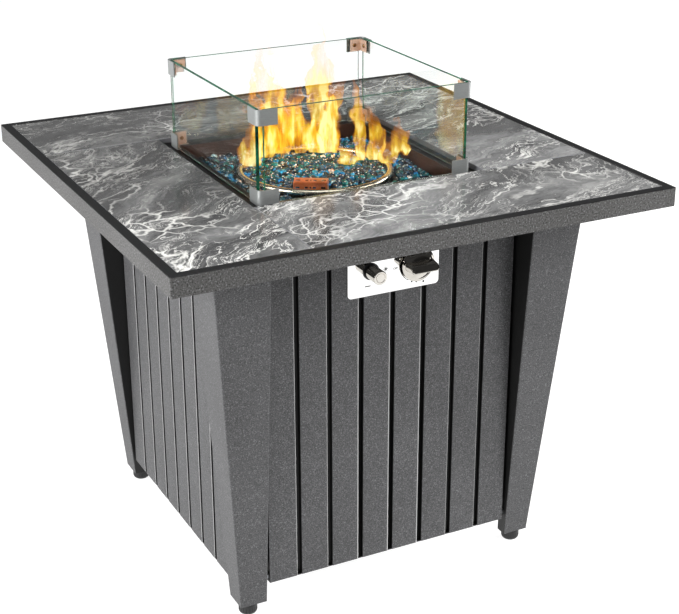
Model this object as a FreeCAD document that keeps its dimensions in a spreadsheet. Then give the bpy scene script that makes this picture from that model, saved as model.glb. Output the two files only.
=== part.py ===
import FreeCAD, Part

import math
import os
from types import SimpleNamespace

import Sketcher
from FreeCAD import Placement, Rotation, Vector

# Square gas fire pit table with a tiled top, slatted steel body, splayed legs and a glass wind guard.
# Millimetres. +Z is up, the front with the controls faces -Y, the origin is on the floor under the centre.

# Driving dimensions
SIZES = [
    # Table top
    ("top_width", 762, "width and depth of the square top"),
    ("top_height", 611, "top of the rim above the floor"),
    ("apron_height", 28, "depth of the apron under the rim"),
    ("rim_width", 13.5, "flat rim round the tiles"),
    ("rim_bevel", 1, "bevel of the rim's outer edges"),
    ("hem_width", 14, "return folded in under the apron"),
    ("top_sheet", 1.5, "steel of the top frame"),
    ("tray_drop", 9.5, "rim down to the seat of the tiles"),
    ("tile_thickness", 9, "porcelain tile"),
    ("tile_joint", 0.6, "gap beside each tile"),
    ("tile_bevel", 0.8, "bevel round the face of a tile"),
    ("recess_width", 368, "square opening between the tiles"),
    ("support_width", 492, "outside of the channel ring under the top"),
    ("support_leg", 20, "flange of the channel ring"),
    ("support_depth", 15, "height of the channel ring"),
    ("support_sheet", 1.5, "steel of the channel ring"),
    # Slatted panels
    ("body_width", 494, "outside of the body across two panels"),
    ("panel_width", 401, "width of one panel"),
    ("panel_bottom", 50, "lower edge of the panels above the floor"),
    ("panel_sheet", 1.2, "steel of the panels"),
    ("panel_flange", 20, "folded edge of a panel"),
    ("groove_width", 5, "gap between two slats"),
    ("groove_depth", 7, "depth of the folded gap"),
    ("groove_pitch", 50.6, "spacing of the gaps"),
    ("groove_count", 7, "gaps in one panel"),
    ("control_opening_width", 126, "cut-out behind the control plate"),
    ("control_opening_height", 56, "cut-out behind the control plate"),
    # Legs and feet
    ("leg_edge", 206, "inner edge of a leg from the centre"),
    ("leg_foot_corner", 248, "outer corner of a leg at its foot"),
    ("leg_head_corner", 291.5, "outer corner of a leg at its head"),
    ("leg_bottom", 21, "underside of a leg above the floor"),
    ("leg_sheet", 1.5, "steel of the legs"),
    ("leg_bend", 2, "outer radius of the leg's folds"),
    ("leg_overlap", 18, "how far a leg's return reaches behind the panel face"),
    ("leg_plate", 2, "plate in the foot and head of a leg"),
    ("foot_place", 229.5, "foot axis from the centre lines"),
    ("foot_radius", 14, "glide"),
    ("foot_height", 18, "glide"),
    ("foot_round", 6, "bevel under the glide"),
    ("foot_sides", 16, "flats that stand for the round of a glide"),
    ("foot_stud_radius", 4, "threaded stud"),
    ("foot_stud_length", 20, "threaded stud above the glide"),
    ("foot_stud_clearance", 0.4, "round the stud"),
    ("foot_nut_size", 7.5, "corner radius of the welded nut"),
    ("foot_nut_height", 6.5, "welded nut"),
    # Bolts
    ("bolt_head_size", 5.8, "corner radius of the hexagon head"),
    ("bolt_head_height", 4, "hexagon head"),
    ("bolt_inset", 9, "bolt axis behind the panel face"),
    ("bolt_rise", 9, "lower leg bolt above the panel's edge"),
    ("bolt_drop", 25, "upper leg bolt under the panel's top"),
    ("spacer_size", 5.8, "corner radius of the hexagon spacer"),
    ("flange_bolt_inset", 14, "flange bolt behind the panel face"),
    ("head_bolt_place", 235, "leg head bolt from the centre lines"),
    # Base shelf
    ("shelf_sheet", 1.5, "steel of the base shelf"),
    ("shelf_clearance", 0.3, "inside the panels' folds and flanges"),
    ("tank_ring_radius", 104, "opening that holds the foot of a gas bottle"),
    ("tank_collar_height", 15, "collar round that opening"),
    # Door in the back
    ("door_stile", 18.5, "back frame beside its opening"),
    ("door_opening_bottom", 70, "lower edge of the opening"),
    ("door_opening_drop", 36, "upper edge of the opening under the top of the rim"),
    ("door_return", 15, "folded edge of the door and its frame"),
    ("door_side_gap", 3, "beside the door"),
    ("door_end_gap", 2.5, "above and below the door"),
    ("catch_return", 34, "deeper fold over the door that carries the catch"),
    ("pivot_inset", 6, "pivot axis from the door's edge and face"),
    ("pivot_radius", 2.5, "pivot pin"),
    ("pivot_clearance", 0.2, "round the pin in the door"),
    ("pivot_fit", 0.05, "round the pin in the frame"),
    ("pivot_collar_radius", 4.5, "collar on the pin"),
    ("pivot_reach", 8, "pin beyond its collar"),
    ("running_gap", 0.3, "between pieces that move on each other"),
    ("pull_radius", 11, "door pull"),
    ("pull_neck_radius", 5, "door pull"),
    ("pull_length", 20, "door pull"),
    ("pull_foot_radius", 7, "foot of the pull on the door"),
    ("pull_foot", 5, "height of the pull's foot"),
    ("pull_flare_start", 10, "where the pull's neck flares"),
    ("pull_flare_end", 14, "where the pull is full"),
    ("pull_crown_start", 17, "where the pull narrows to its front"),
    ("pull_front_radius", 7.7, "front of the pull"),
    ("pull_sides", 16, "flats that stand for the round of the pull"),
    ("pull_drop", 50, "door pull under the door's top"),
    ("pull_inset", 12.5, "door pull from the door's free edge"),
    ("catch_width", 34, "magnet block"),
    ("catch_depth", 16, "magnet block"),
    ("catch_height", 15, "magnet block"),
    ("catch_inset", 24, "catch axis from the door's free edge"),
    ("striker_sheet", 1.2, "steel plate that meets the magnet"),
    ("striker_width", 26, "steel plate that meets the magnet"),
    ("striker_leg", 6, "fold of that plate under the door's flange"),
    # Burner pan and shield
    ("pan_ledge", 28.5, "edge of the recess to the burner pan's walls"),
    ("tray_gap", 2.5, "between the pan's walls and the top's opening"),
    ("pan_depth", 54, "ledge down to the pan's floor"),
    ("pan_sheet", 1.5, "steel of the burner pan"),
    ("pan_gap", 1, "between the pan's flange and the tiles"),
    ("shield_inset", 107, "edge of the heat shield behind the panel face"),
    ("shield_sheet", 1.2, "heat shield"),
    ("shield_corner", 12, "heat shield"),
    ("shield_drop", 32.3, "heat shield under the pan"),
    ("post_size", 4.6, "corner radius of a shield post"),
    ("post_inset", 15, "shield post from the shield's edges"),
    # Burner bowl and ring
    ("bowl_rim_radius", 117.5, "outside of the rolled rim"),
    ("bowl_roll", 3.5, "radius of the rolled rim"),
    ("bowl_height", 42, "bowl over the pan's floor"),
    ("bowl_floor_radius", 95, "flat floor of the bowl"),
    ("bowl_sheet", 1, "stainless sheet"),
    ("burner_radius", 70, "centre line of the ring burner"),
    ("burner_tube", 8, "ring burner tube"),
    ("burner_wall", 1.2, "wall of the burner tube at the ports"),
    ("ring_sides", 24, "flats that stand for the round of the ring burner"),
    ("ring_bevel", 4.5, "bevels that stand for the ring burner's round section"),
    ("burner_rise", 14, "ring centre line above the pan's floor"),
    ("cross_tube", 6.5, "feed tube across the ring"),
    ("hub_radius", 14, "hub in the middle"),
    ("hub_rise", 10, "hub above the ring's centre line"),
    ("port_radius", 1.3, "gas port"),
    ("port_count", 8, "gas ports"),
    ("nipple_radius", 10.5, "threaded nipple through the floors"),
    ("nipple_bore", 7, "threaded nipple"),
    ("nipple_drop", 14, "nipple below the pan's floor"),
    ("floor_hole_gap", 0.5, "round the nipple in the floors"),
    ("locknut_size", 17, "corner radius of the locknut"),
    ("locknut_height", 6, "locknut"),
    ("elbow_radius", 13.5, "corner radius of the elbow's upright socket"),
    ("elbow_sides", 12, "flats of that socket"),
    ("elbow_wall", 2.2, "elbow's outlet round the mixing tube"),
    ("elbow_drop", 30, "elbow underside below the pan's bottom"),
    ("elbow_rise", 11.5, "outlet axis above the elbow's underside"),
    ("elbow_reach", 30, "outlet of the elbow from its axis"),
    ("mixer_radius", 9, "mixing tube"),
    ("mixer_bore", 7.5, "mixing tube"),
    ("mixer_start", 17, "mixing tube's inner end from the axis"),
    ("mixer_inset", 155, "mixing tube's outer end behind the panel face"),
    ("air_slot_length", 16, "air slot in the mixing tube"),
    ("air_slot_height", 8, "air slot in the mixing tube"),
    ("air_slot_inset", 14, "air slot from the mixing tube's outer end"),
    ("jet_size", 11.5, "corner radius of the jet's hexagon"),
    ("jet_length", 12, "jet"),
    ("jet_spigot", 5, "end of the jet inside the mixing tube"),
    ("pipe_radius", 4, "formed gas pipe"),
    ("pipe_socket", 7, "how far the pipe enters its sockets"),
    ("pipe_bend", 25, "bend of the gas pipe"),
    ("pipe_lead", 28, "straight part of the gas pipe to the middle of its bend"),
    ("slip_gap", 0.2, "between tubes that push into each other"),
    # Igniter cover in the bowl
    ("cover_angle", 31, "turn of the cover from the front, in degrees"),
    ("cover_width", 50, "folded cover"),
    ("cover_depth", 23, "folded cover"),
    ("cover_reach", 101, "outer face of the cover from the axis"),
    ("cover_rise", 7, "top of the cover above the bowl's rim"),
    ("cover_height", 20, "folded cover without its legs"),
    ("cover_sheet", 0.8, "folded cover"),
    ("cover_leg", 10, "width of a cover leg"),
    ("cover_slot_length", 9, "slot in the cover's top"),
    ("cover_slot_width", 3.5, "slot in the cover's top"),
    ("cover_slot_place", 16, "slot from the cover's middle"),
    ("electrode_place", 10, "electrode and sensor from the cover's middle"),
    ("electrode_radius", 3, "ceramic of the electrode"),
    ("electrode_height", 36, "electrode and sensor"),
    ("electrode_tip", 1, "wire of the electrode"),
    ("electrode_shoulder", 28.8, "straight part of the ceramic above the bowl's floor"),
    ("sensor_radius", 2, "probe of the flame sensor"),
    ("electrode_base", 4.5, "base of the electrode and sensor"),
    ("pilot_sides", 8, "flats that stand for the round of electrode and sensor"),
    # Fire glass
    ("bed_drop", 3.5, "fire glass under the bowl's rim"),
    ("bed_crown", 2.5, "rise of the fire glass in the bowl's middle"),
    ("bed_gap", 0.3, "round the fire glass"),
    ("bed_sides", 24, "flats that stand for the round of the bed in the bowl"),
    ("pan_bed_drop", 13, "fire glass in the pan under the ledge"),
    # Wind guard
    ("guard_inset", 14, "corner clips inside the edge of the recess"),
    ("glass_inset", 11, "end of a pane inside the corner clips"),
    ("glass_height", 134, "pane"),
    ("glass_thickness", 5, "pane"),
    ("clip_leg", 31, "leg of a corner clip"),
    ("clip_height", 22.5, "corner clip"),
    ("clip_sheet", 1.5, "corner clip"),
    ("clip_round", 8, "rounded corner of a clip"),
    ("clip_gap", 0.3, "silicone film between clip and glass"),
    ("clip_floor", 10, "floor of a lower clip under the glass"),
    ("clip_stand", 0.7, "upper clip above the glass"),
    ("plate_leg", 20, "leg of an inner clip plate"),
    ("plate_height", 19, "inner clip plate"),
    ("clip_hole_inset", 20, "clip screw inside the corner clips"),
    ("glass_hole_radius", 3.5, "hole in the glass"),
    ("clip_boss_radius", 3, "boss of a clip in the glass"),
    ("clip_screw_head", 3.2, "clip screw"),
    ("clip_screw_head_height", 1.8, "clip screw"),
    # Control plate
    ("plate_width", 146, "control plate"),
    ("plate_tall", 73, "control plate"),
    ("plate_sheet", 1.5, "control plate"),
    ("plate_round", 6, "control plate"),
    ("control_drop", 99, "axis of knob and button under the top of the rim"),
    ("control_spread", 36.5, "knob and button from the middle"),
    # Gas valve
    ("valve_flange_width", 44, "mounting flange"),
    ("valve_flange_tall", 20, "mounting flange"),
    ("valve_flange_depth", 4, "mounting flange"),
    ("valve_radius", 13, "valve barrel"),
    ("valve_depth", 40, "valve barrel behind the plate"),
    ("plug_front", 12, "front of the plug behind the plate"),
    ("plug_back", 38, "back of the plug's seat behind the plate"),
    ("plug_front_radius", 8, "tapered plug"),
    ("plug_back_radius", 6.5, "tapered plug"),
    ("plug_gap", 0.2, "round the plug"),
    ("outlet_radius", 8.5, "outlet boss"),
    ("outlet_reach", 63, "outlet boss behind the plate"),
    ("inlet_radius", 7.94, "flare thread of the gas inlet"),
    ("inlet_bore", 4.5, "gas inlet"),
    ("inlet_reach", 34, "gas inlet below the valve axis"),
    ("inlet_thread", 12, "threaded length of the gas inlet"),
    ("inlet_hex_size", 11, "corner radius of the inlet's hexagon"),
    ("inlet_depth", 26, "inlet axis behind the plate"),
    ("magnet_radius", 7, "safety magnet housing"),
    ("magnet_reach", 34, "safety magnet housing beside the valve"),
    ("stem_radius", 3, "valve stem"),
    ("stem_gap", 0.4, "round the stem in the body"),
    ("stem_slip", 0.2, "round the stem in plug and knob"),
    ("stem_flat", 1, "flat of the stem under its round"),
    ("stem_inner", 22, "inner end of the stem behind the plate"),
    ("stem_room", 5, "room behind the stem for its push"),
    ("stem_outer", 20, "outer end of the stem before the plate"),
    ("plate_hole", 4.5, "hole for the stem in the plate"),
    ("valve_screw_place", 17, "valve screw from the stem"),
    ("valve_screw_head", 3.6, "valve screw"),
    ("valve_screw_head_height", 2, "valve screw"),
    # Control knob
    ("knob_travel", 4, "push of the knob"),
    ("knob_radius", 26, "skirt of the knob"),
    ("knob_sides", 32, "flats that stand for the round of the skirt"),
    ("knob_skirt", 4, "thickness of the skirt"),
    ("knob_dome_radius", 18, "top of the skirt's cone"),
    ("knob_dome", 4, "height of the skirt's cone"),
    ("knob_bar_length", 47, "grip bar"),
    ("knob_bar_width", 14, "grip bar"),
    ("knob_bar_draft", 6, "draft of the grip bar in degrees"),
    ("knob_front", 30, "front of the grip bar from the panel face"),
    ("knob_wall", 2, "wall of the skirt and hub"),
    ("knob_edge", 1, "bevel of the grip bar's front"),
    # Igniter
    ("igniter_radius", 9.3, "barrel of the igniter"),
    ("igniter_depth", 45, "barrel behind the plate"),
    ("igniter_gap", 0.3, "round the barrel in the plate and nut"),
    ("igniter_bezel", 12.5, "bezel in front of the plate"),
    ("igniter_bezel_depth", 1.5, "bezel in front of the plate"),
    ("igniter_neck", 8.8, "neck inside the button"),
    ("igniter_neck_front", 19, "front of the neck from the panel face"),
    ("igniter_nut_size", 15, "corner radius of the igniter nut"),
    ("igniter_nut_height", 5, "igniter nut"),
    ("terminal_length", 7, "terminal blade"),
    ("terminal_width", 4.8, "terminal blade"),
    ("terminal_sheet", 0.8, "terminal blade"),
    ("button_radius", 10.4, "push button"),
    ("button_wall", 1, "push button"),
    ("button_front", 30, "front of the button from the panel face"),
    ("button_travel", 3, "push of the button"),
]


class Size:
    """A number that keeps the formula it was worked out with, so that it can be bound to the sheet."""

    def __init__(self, value, formula):
        self.value = value
        self.formula = formula

    def __add__(self, other):
        return joined(self, "+", other, self.value + number(other))

    def __radd__(self, other):
        return joined(other, "+", self, number(other) + self.value)

    def __sub__(self, other):
        return joined(self, "-", other, self.value - number(other))

    def __rsub__(self, other):
        return joined(other, "-", self, number(other) - self.value)

    def __mul__(self, other):
        return joined(self, "*", other, self.value * number(other))

    def __rmul__(self, other):
        return joined(other, "*", self, number(other) * self.value)

    def __truediv__(self, other):
        return joined(self, "/", other, self.value / number(other))

    def __neg__(self):
        return joined(-1, "*", self, -self.value)


def number(item):
    return item.value if isinstance(item, Size) else float(item)


def formula(item):
    return item.formula if isinstance(item, Size) else repr(item)


def joined(left, sign, right, value):
    return Size(value, f"({formula(left)} {sign} {formula(right)})")


doc = FreeCAD.newDocument("FirePitTable")
sheet = doc.addObject("Spreadsheet::Sheet", "Sizes")
for row, (alias, value, meaning) in enumerate(SIZES, start=1):
    sheet.set(f"A{row}", alias)
    sheet.set(f"B{row}", str(value))
    sheet.set(f"C{row}", meaning)
    sheet.setAlias(f"B{row}", alias)
d = SimpleNamespace(**{alias: Size(float(value), f"Sizes.{alias}") for alias, value, meaning in SIZES})
doc.recompute()

nodes = []

# Levels and faces that several pieces share
TRAY_TOP = d.top_height - d.tray_drop
TRAY_BOTTOM = TRAY_TOP - d.top_sheet
PANEL_TOP = TRAY_BOTTOM - d.support_depth
LEDGE = TRAY_TOP + d.pan_sheet
PAN_FLOOR = LEDGE - d.pan_depth
PAN_UNDERSIDE = PAN_FLOOR - d.pan_sheet
BOWL_FLOOR = PAN_FLOOR + d.bowl_sheet
BOWL_RIM = PAN_FLOOR + d.bowl_height
BOWL_WALL_RADIUS = d.bowl_rim_radius - d.bowl_roll
PANEL_FACE = d.body_width / 2
PANEL_HALF = d.panel_width / 2
LEG_RETURN = PANEL_FACE - d.leg_overlap
BOLT_LINE = PANEL_FACE - d.bolt_inset
TILE_SEAT = d.top_width / 2 - d.rim_width
RECESS = d.recess_width / 2
PAN_HALF = RECESS - d.pan_ledge
DOORWAY_HALF = PANEL_HALF - d.door_stile
DOORWAY_TOP = d.top_height - d.door_opening_drop
DOOR_HALF = DOORWAY_HALF - d.door_side_gap
DOOR_BOTTOM = d.door_opening_bottom + d.door_end_gap
DOOR_TOP = DOORWAY_TOP - d.door_end_gap
PIVOT_X = DOOR_HALF - d.pivot_inset
PIVOT_Y = PANEL_FACE - d.pivot_inset
FEED_LEVEL = PAN_UNDERSIDE - d.elbow_drop + d.elbow_rise
MIXER_END = PANEL_FACE - d.mixer_inset
SHIELD_HALF = PANEL_FACE - d.shield_inset
GUARD_BASE = LEDGE + d.running_gap
GUARD_HALF = RECESS - d.guard_inset
CLIP_HOLE = GUARD_HALF - d.clip_hole_inset
GLASS_FACE = GUARD_HALF - d.clip_sheet - d.clip_gap
GLASS_BOTTOM = GUARD_BASE + d.clip_sheet + d.clip_gap
GLASS_TOP = GLASS_BOTTOM + d.glass_height
LOWER_CLIP = GUARD_BASE + d.clip_height / 2
UPPER_CLIP = GLASS_TOP + d.clip_stand - d.clip_height / 2
CONTROL_LEVEL = d.top_height - d.control_drop
PLATE_FRONT = d.plate_sheet
KNOB_BACK = PLATE_FRONT + d.knob_travel + d.running_gap

UP = Rotation(0, 0, 0)
FORWARD = Rotation(Vector(1, 0, 0), 90)
CORNERS = ("front_left", "front_right", "back_right", "back_left")
SIDES = ("front", "right", "back", "left")


def quarter(count):
    """The turn about the upright axis that brings a front piece to another side."""
    return Rotation(Vector(0, 0, 1), 90 * count)


# Modelling helpers
def bind(item, prop, amount):
    item.setExpression(prop, formula(amount))


def place(item, x, y, z, turn=UP):
    item.Placement = Placement(Vector(number(x), number(y), number(z)), turn)
    for letter, amount in (("x", x), ("y", y), ("z", z)):
        if isinstance(amount, Size):
            bind(item, f"Placement.Base.{letter}", amount)


def new_body(name):
    body = doc.addObject("PartDesign::Body", name)
    body.Label = name
    return body


def origin_feature(body, role):
    return next(item for item in body.Origin.OriginFeatures if item.Role == role)


def new_sketch(body, name, plane="XY_Plane", level=0):
    """A sketch on one of the body's own planes, moved along that plane's normal."""
    sketch = body.newObject("Sketcher::SketchObject", name)
    sketch.AttachmentSupport = [(origin_feature(body, plane), "")]
    sketch.MapMode = "FlatFace"
    bind(sketch, "AttachmentOffset.Base.z", level)
    return sketch


def hold(sketch, item, point, x, y):
    """Ties a point of the sketch to the sketch's own axes."""
    for kind, axis, amount in (("DistanceX", -2, x), ("DistanceY", -1, y)):
        if not isinstance(amount, Size) and amount == 0:
            sketch.addConstraint(Sketcher.Constraint("PointOnObject", item, point, axis))
            continue
        tie = sketch.addConstraint(Sketcher.Constraint(kind, -1, 1, item, point, number(amount)))
        bind(sketch, f"Constraints[{tie}]", amount)


def outline(sketch, points):
    """A closed outline of straight lines through the points."""
    spots = [Vector(number(x), number(y), 0) for x, y in points]
    count = len(spots)
    first = sketch.GeometryCount
    sketch.addGeometry([Part.LineSegment(spots[i], spots[(i + 1) % count]) for i in range(count)], False)
    for i, (x, y) in enumerate(points):
        sketch.addConstraint(Sketcher.Constraint("Coincident", first + i, 2, first + (i + 1) % count, 1))
        hold(sketch, first + i, 1, x, y)


def rectangle(sketch, x0, x1, y0, y1):
    outline(sketch, [(x0, y0), (x1, y0), (x1, y1), (x0, y1)])


def square(sketch, half):
    rectangle(sketch, -half, half, -half, half)


def circle(sketch, x, y, radius):
    centre = Vector(number(x), number(y), 0)
    item = sketch.addGeometry(Part.Circle(centre, Vector(0, 0, 1), number(radius)), False)
    hold(sketch, item, 3, x, y)
    tie = sketch.addConstraint(Sketcher.Constraint("Radius", item, number(radius)))
    bind(sketch, f"Constraints[{tie}]", radius)


def pad(body, name, sketch, length, backwards=False):
    feature = body.newObject("PartDesign::Pad", name)
    feature.Profile = sketch
    feature.Reversed = backwards
    bind(feature, "Length", length)
    body.Tip = feature
    return feature


def pocket(body, name, sketch, length, along=True):
    """Cuts along the sketch's normal, or against it, and makes sure that it cut something."""
    doc.recompute()
    before = body.Shape.Volume
    feature = body.newObject("PartDesign::Pocket", name)
    feature.Profile = sketch
    feature.Reversed = along
    bind(feature, "Length", length)
    body.Tip = feature
    doc.recompute()
    if body.Shape.Volume >= before:
        raise RuntimeError(f"{name} cuts nothing")
    return feature


def row_of(body, name, feature, sketch, length, count):
    """Repeats a feature along the sketch's first axis."""
    row = body.newObject("PartDesign::LinearPattern", name)
    row.Originals = [feature]
    row.Direction = (sketch, ["H_Axis"])
    bind(row, "Length", length)
    bind(row, "Occurrences", count)
    body.Tip = row
    return row


def turned(body, name, points, kind="Revolution"):
    """Turns an outline, given as radius and height, about the body's upright axis, or cuts it away."""
    sketch = new_sketch(body, f"{name}_outline", "XZ_Plane")
    outline(sketch, points)
    feature = body.newObject(f"PartDesign::{kind}", name)
    feature.Profile = sketch
    feature.ReferenceAxis = (sketch, ["V_Axis"])
    feature.Angle = 360
    body.Tip = feature
    doc.recompute()
    return feature


def rounded(body, name, radius, chosen, kind="Fillet"):
    """Rounds or bevels the edges of the body that the test chooses."""
    doc.recompute()
    last = body.Tip
    edges = [f"Edge{i}" for i, edge in enumerate(last.Shape.Edges, start=1) if chosen(edge)]
    if not edges:
        raise RuntimeError(f"{name} finds no edge")
    feature = body.newObject(f"PartDesign::{kind}", name)
    feature.Base = (last, edges)
    bind(feature, "Radius" if kind == "Fillet" else "Size", radius)
    body.Tip = feature
    return feature


def near(value, size):
    return abs(value - number(size)) < 0.01


def at_height(edge, height):
    return near(edge.BoundBox.ZMin, height) and near(edge.BoundBox.ZMax, height)


def upright(edge):
    box = edge.BoundBox
    return box.XLength < 0.01 and box.YLength < 0.01


def copies(name, source, placements):
    """A group of separate solids, all like one source solid."""
    doc.recompute()
    shapes = []
    for placement in placements:
        shape = source.Shape.copy()
        shape.Placement = placement.multiply(source.Placement)
        shapes.append(shape)
    group = doc.addObject("Part::Feature", name)
    group.Shape = Part.makeCompound(shapes)
    group.Label = name
    return group


def regular(sketch, sides, radius):
    """An outline with equal sides about the sketch's origin."""
    count = round(number(sides))
    angles = [2 * math.pi * (i + 0.5) / count for i in range(count)]
    outline(sketch, [(radius * math.cos(angle), radius * math.sin(angle)) for angle in angles])


def leaned(body, name, level, upper, slope):
    """Leans the upright sides of the last band about its lower end, and keeps them flat."""
    body.Tip.Refine = False
    doc.recompute()
    last = body.Tip
    sides = [f"Face{i}" for i, face in enumerate(last.Shape.Faces, start=1)
             if near(face.BoundBox.ZMin, level) and near(face.BoundBox.ZMax, upper)]
    base = body.newObject("PartDesign::Plane", f"{name}_level")
    base.AttachmentSupport = [(origin_feature(body, "XY_Plane"), "")]
    base.MapMode = "FlatFace"
    bind(base, "AttachmentOffset.Base.z", level)
    feature = body.newObject("PartDesign::Draft", name)
    feature.Base = (last, sides)
    feature.NeutralPlane = (base, [""])
    feature.Reversed = number(slope) > 0
    bind(feature, "Angle", Size(math.degrees(math.atan(abs(slope.value))), f"atan(abs({slope.formula}))"))
    body.Tip = feature


def many_sided(body, name, sides, points):
    """Bands with flat sides, one on the other, through corner radii and heights along the upright axis."""
    flatness = math.cos(math.pi / round(number(sides)))
    for i, ((radius, level), (next_radius, next_level)) in enumerate(zip(points, points[1:])):
        rise = next_level - level
        if number(rise) == 0:
            continue
        band = new_sketch(body, f"{name}_outline_{i}", level=level)
        regular(band, sides, radius)
        pad(body, f"{name}_band_{i}", band, rise)
        slope = (next_radius - radius) * flatness / rise
        if number(slope) != 0:
            leaned(body, f"{name}_lean_{i}", level, next_level, slope)


def cylinder(name, radius, length, x=0, y=0, z=0, turn=UP):
    item = doc.addObject("Part::Cylinder", name)
    bind(item, "Radius", radius)
    bind(item, "Height", length)
    place(item, x, y, z, turn)
    return item


def prism(name, sides, size, length, x=0, y=0, z=0, turn=UP):
    item = doc.addObject("Part::Prism", name)
    item.Polygon = sides
    bind(item, "Circumradius", size)
    bind(item, "Height", length)
    place(item, x, y, z, turn)
    return item


def cut(name, base, tool):
    item = doc.addObject("Part::Cut", name)
    item.Base = base
    item.Tool = tool
    item.Label = name
    return item


def keep(*items):
    nodes.extend(items)


# Table top
def top_frame():
    """Apron, rim and tile seat, folded and welded from one sheet thickness."""
    name = "top_frame"
    body = new_body(name)
    half = d.top_width / 2
    bottom = d.top_height - d.apron_height
    block = new_sketch(body, "frame_block", level=bottom)
    square(block, half)
    pad(body, "frame_blank", block, d.apron_height)
    seat = new_sketch(body, "tile_seat", level=TRAY_TOP)
    square(seat, TILE_SEAT)
    pocket(body, "tile_seat_cut", seat, d.tray_drop)
    under = new_sketch(body, "under_side", level=bottom + d.top_sheet)
    square(under, half - d.top_sheet)
    pocket(body, "under_side_cut", under, TRAY_BOTTOM - bottom - d.top_sheet)
    behind = new_sketch(body, "behind_rim", level=TRAY_BOTTOM)
    square(behind, half - d.top_sheet)
    square(behind, TILE_SEAT + d.top_sheet)
    pocket(body, "behind_rim_cut", behind, d.top_height - d.top_sheet - TRAY_BOTTOM)
    hem = new_sketch(body, "hem_opening", level=bottom)
    square(hem, half - d.hem_width)
    pocket(body, "hem_opening_cut", hem, d.top_sheet)
    opening = new_sketch(body, "burner_opening", level=TRAY_BOTTOM)
    square(opening, PAN_HALF + d.tray_gap)
    pocket(body, "burner_opening_cut", opening, d.top_sheet)

    def outer_edge(edge):
        box = edge.BoundBox
        reach = max(abs(box.XMin), abs(box.XMax), abs(box.YMin), abs(box.YMax))
        corner = upright(edge) and near(abs(box.XMin), half) and near(abs(box.YMin), half)
        return corner or (near(reach, half) and at_height(edge, d.top_height))

    rounded(body, "rim_bevelling", d.rim_bevel, outer_edge, "Chamfer")
    keep(body)


def tiles():
    """Four long tiles laid round the recess like a pinwheel."""
    for turn, side in enumerate(SIDES):
        name = f"tile_{side}"
        body = new_body(name)
        face = new_sketch(body, f"{name}_face", level=TRAY_TOP)
        rectangle(face, -RECESS + d.tile_joint / 2, TILE_SEAT - d.tile_joint,
                  -TILE_SEAT + d.tile_joint, -RECESS)
        pad(body, f"{name}_slab", face, d.tile_thickness)
        rounded(body, f"{name}_bevel", d.tile_bevel, lambda edge: at_height(edge, TRAY_TOP + d.tile_thickness),
                "Chamfer")
        body.Placement = Placement(Vector(), quarter(turn))
        keep(body)


def top_support():
    """Ring of rolled channel under the top, open to the inside, that panels and legs bolt to."""
    name = "top_support_ring"
    body = new_body(name)
    outer = d.support_width / 2
    ring = new_sketch(body, "support_ring", level=PANEL_TOP)
    square(ring, outer)
    square(ring, outer - d.support_leg)
    pad(body, "support_blank", ring, d.support_depth)
    inside = new_sketch(body, "support_inside", level=PANEL_TOP + d.support_sheet)
    square(inside, outer - d.support_sheet)
    pocket(body, "support_channel", inside, d.support_depth - 2 * d.support_sheet)
    keep(body)


def flange_bolt_spots():
    """Two bolts through each panel's top flange, between gaps."""
    along = d.groove_pitch * 1.5
    line = PANEL_FACE - d.flange_bolt_inset
    spots = []
    for sign in (-1, 1):
        spots += [(along * sign, -line), (along * sign, line), (line, along * sign), (-line, along * sign)]
    return spots


def head_bolt_spots():
    """One bolt through the head plate of each leg."""
    away = d.head_bolt_place
    return [(away * sx, away * sy) for sx in (-1, 1) for sy in (-1, 1)]


def shelf_bolt_spots():
    """One bolt through each panel's bottom flange and the shelf."""
    along = d.groove_pitch / 2
    line = PANEL_FACE - d.flange_bolt_inset
    return [(along, -line), (line, along), (-along, line), (-line, -along)]


# Slatted panels
def slatted_skin(body, name, half, bottom, top, flange):
    """A sheet with folded gaps between its slats and a folded edge all round."""
    t = d.panel_sheet
    height = top - bottom
    first = -d.groove_pitch * (d.groove_count - 1) / 2
    run = d.groove_pitch * (d.groove_count - 1)
    skin = new_sketch(body, f"{name}_skin", level=bottom)
    rectangle(skin, -half, half, -PANEL_FACE, -PANEL_FACE + t)
    pad(body, f"{name}_sheet", skin, height)
    channel = new_sketch(body, f"{name}_channel", level=bottom)
    rectangle(channel, first - d.groove_width / 2 - t, first + d.groove_width / 2 + t, -PANEL_FACE,
              -PANEL_FACE + d.groove_depth + t)
    folded = pad(body, f"{name}_fold", channel, height)
    doc.recompute()
    row_of(body, f"{name}_folds", folded, channel, run, d.groove_count)
    gap = new_sketch(body, f"{name}_gap", level=bottom)
    rectangle(gap, first - d.groove_width / 2, first + d.groove_width / 2, -PANEL_FACE,
              -PANEL_FACE + d.groove_depth)
    groove = pocket(body, f"{name}_groove", gap, height)
    row_of(body, f"{name}_grooves", groove, gap, run, d.groove_count)
    doc.recompute()
    folded_edge(body, name, half, bottom, top, flange)


def folded_edge(body, name, half, bottom, top, flange):
    """Side, top and bottom flanges behind a sheet."""
    t = d.panel_sheet
    sides = new_sketch(body, f"{name}_sides", level=bottom)
    rectangle(sides, -half, -half + t, -PANEL_FACE, -PANEL_FACE + flange)
    rectangle(sides, half - t, half, -PANEL_FACE, -PANEL_FACE + flange)
    pad(body, f"{name}_side_flanges", sides, top - bottom)
    for end, level in (("bottom", bottom), ("top", top - t)):
        strip = new_sketch(body, f"{name}_{end}", level=level)
        rectangle(strip, -half, half, -PANEL_FACE + t / 2, -PANEL_FACE + flange)
        pad(body, f"{name}_{end}_flange", strip, t)


def leg_bolt_levels():
    return d.panel_bottom + d.bolt_rise, PANEL_TOP - d.bolt_drop


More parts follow.
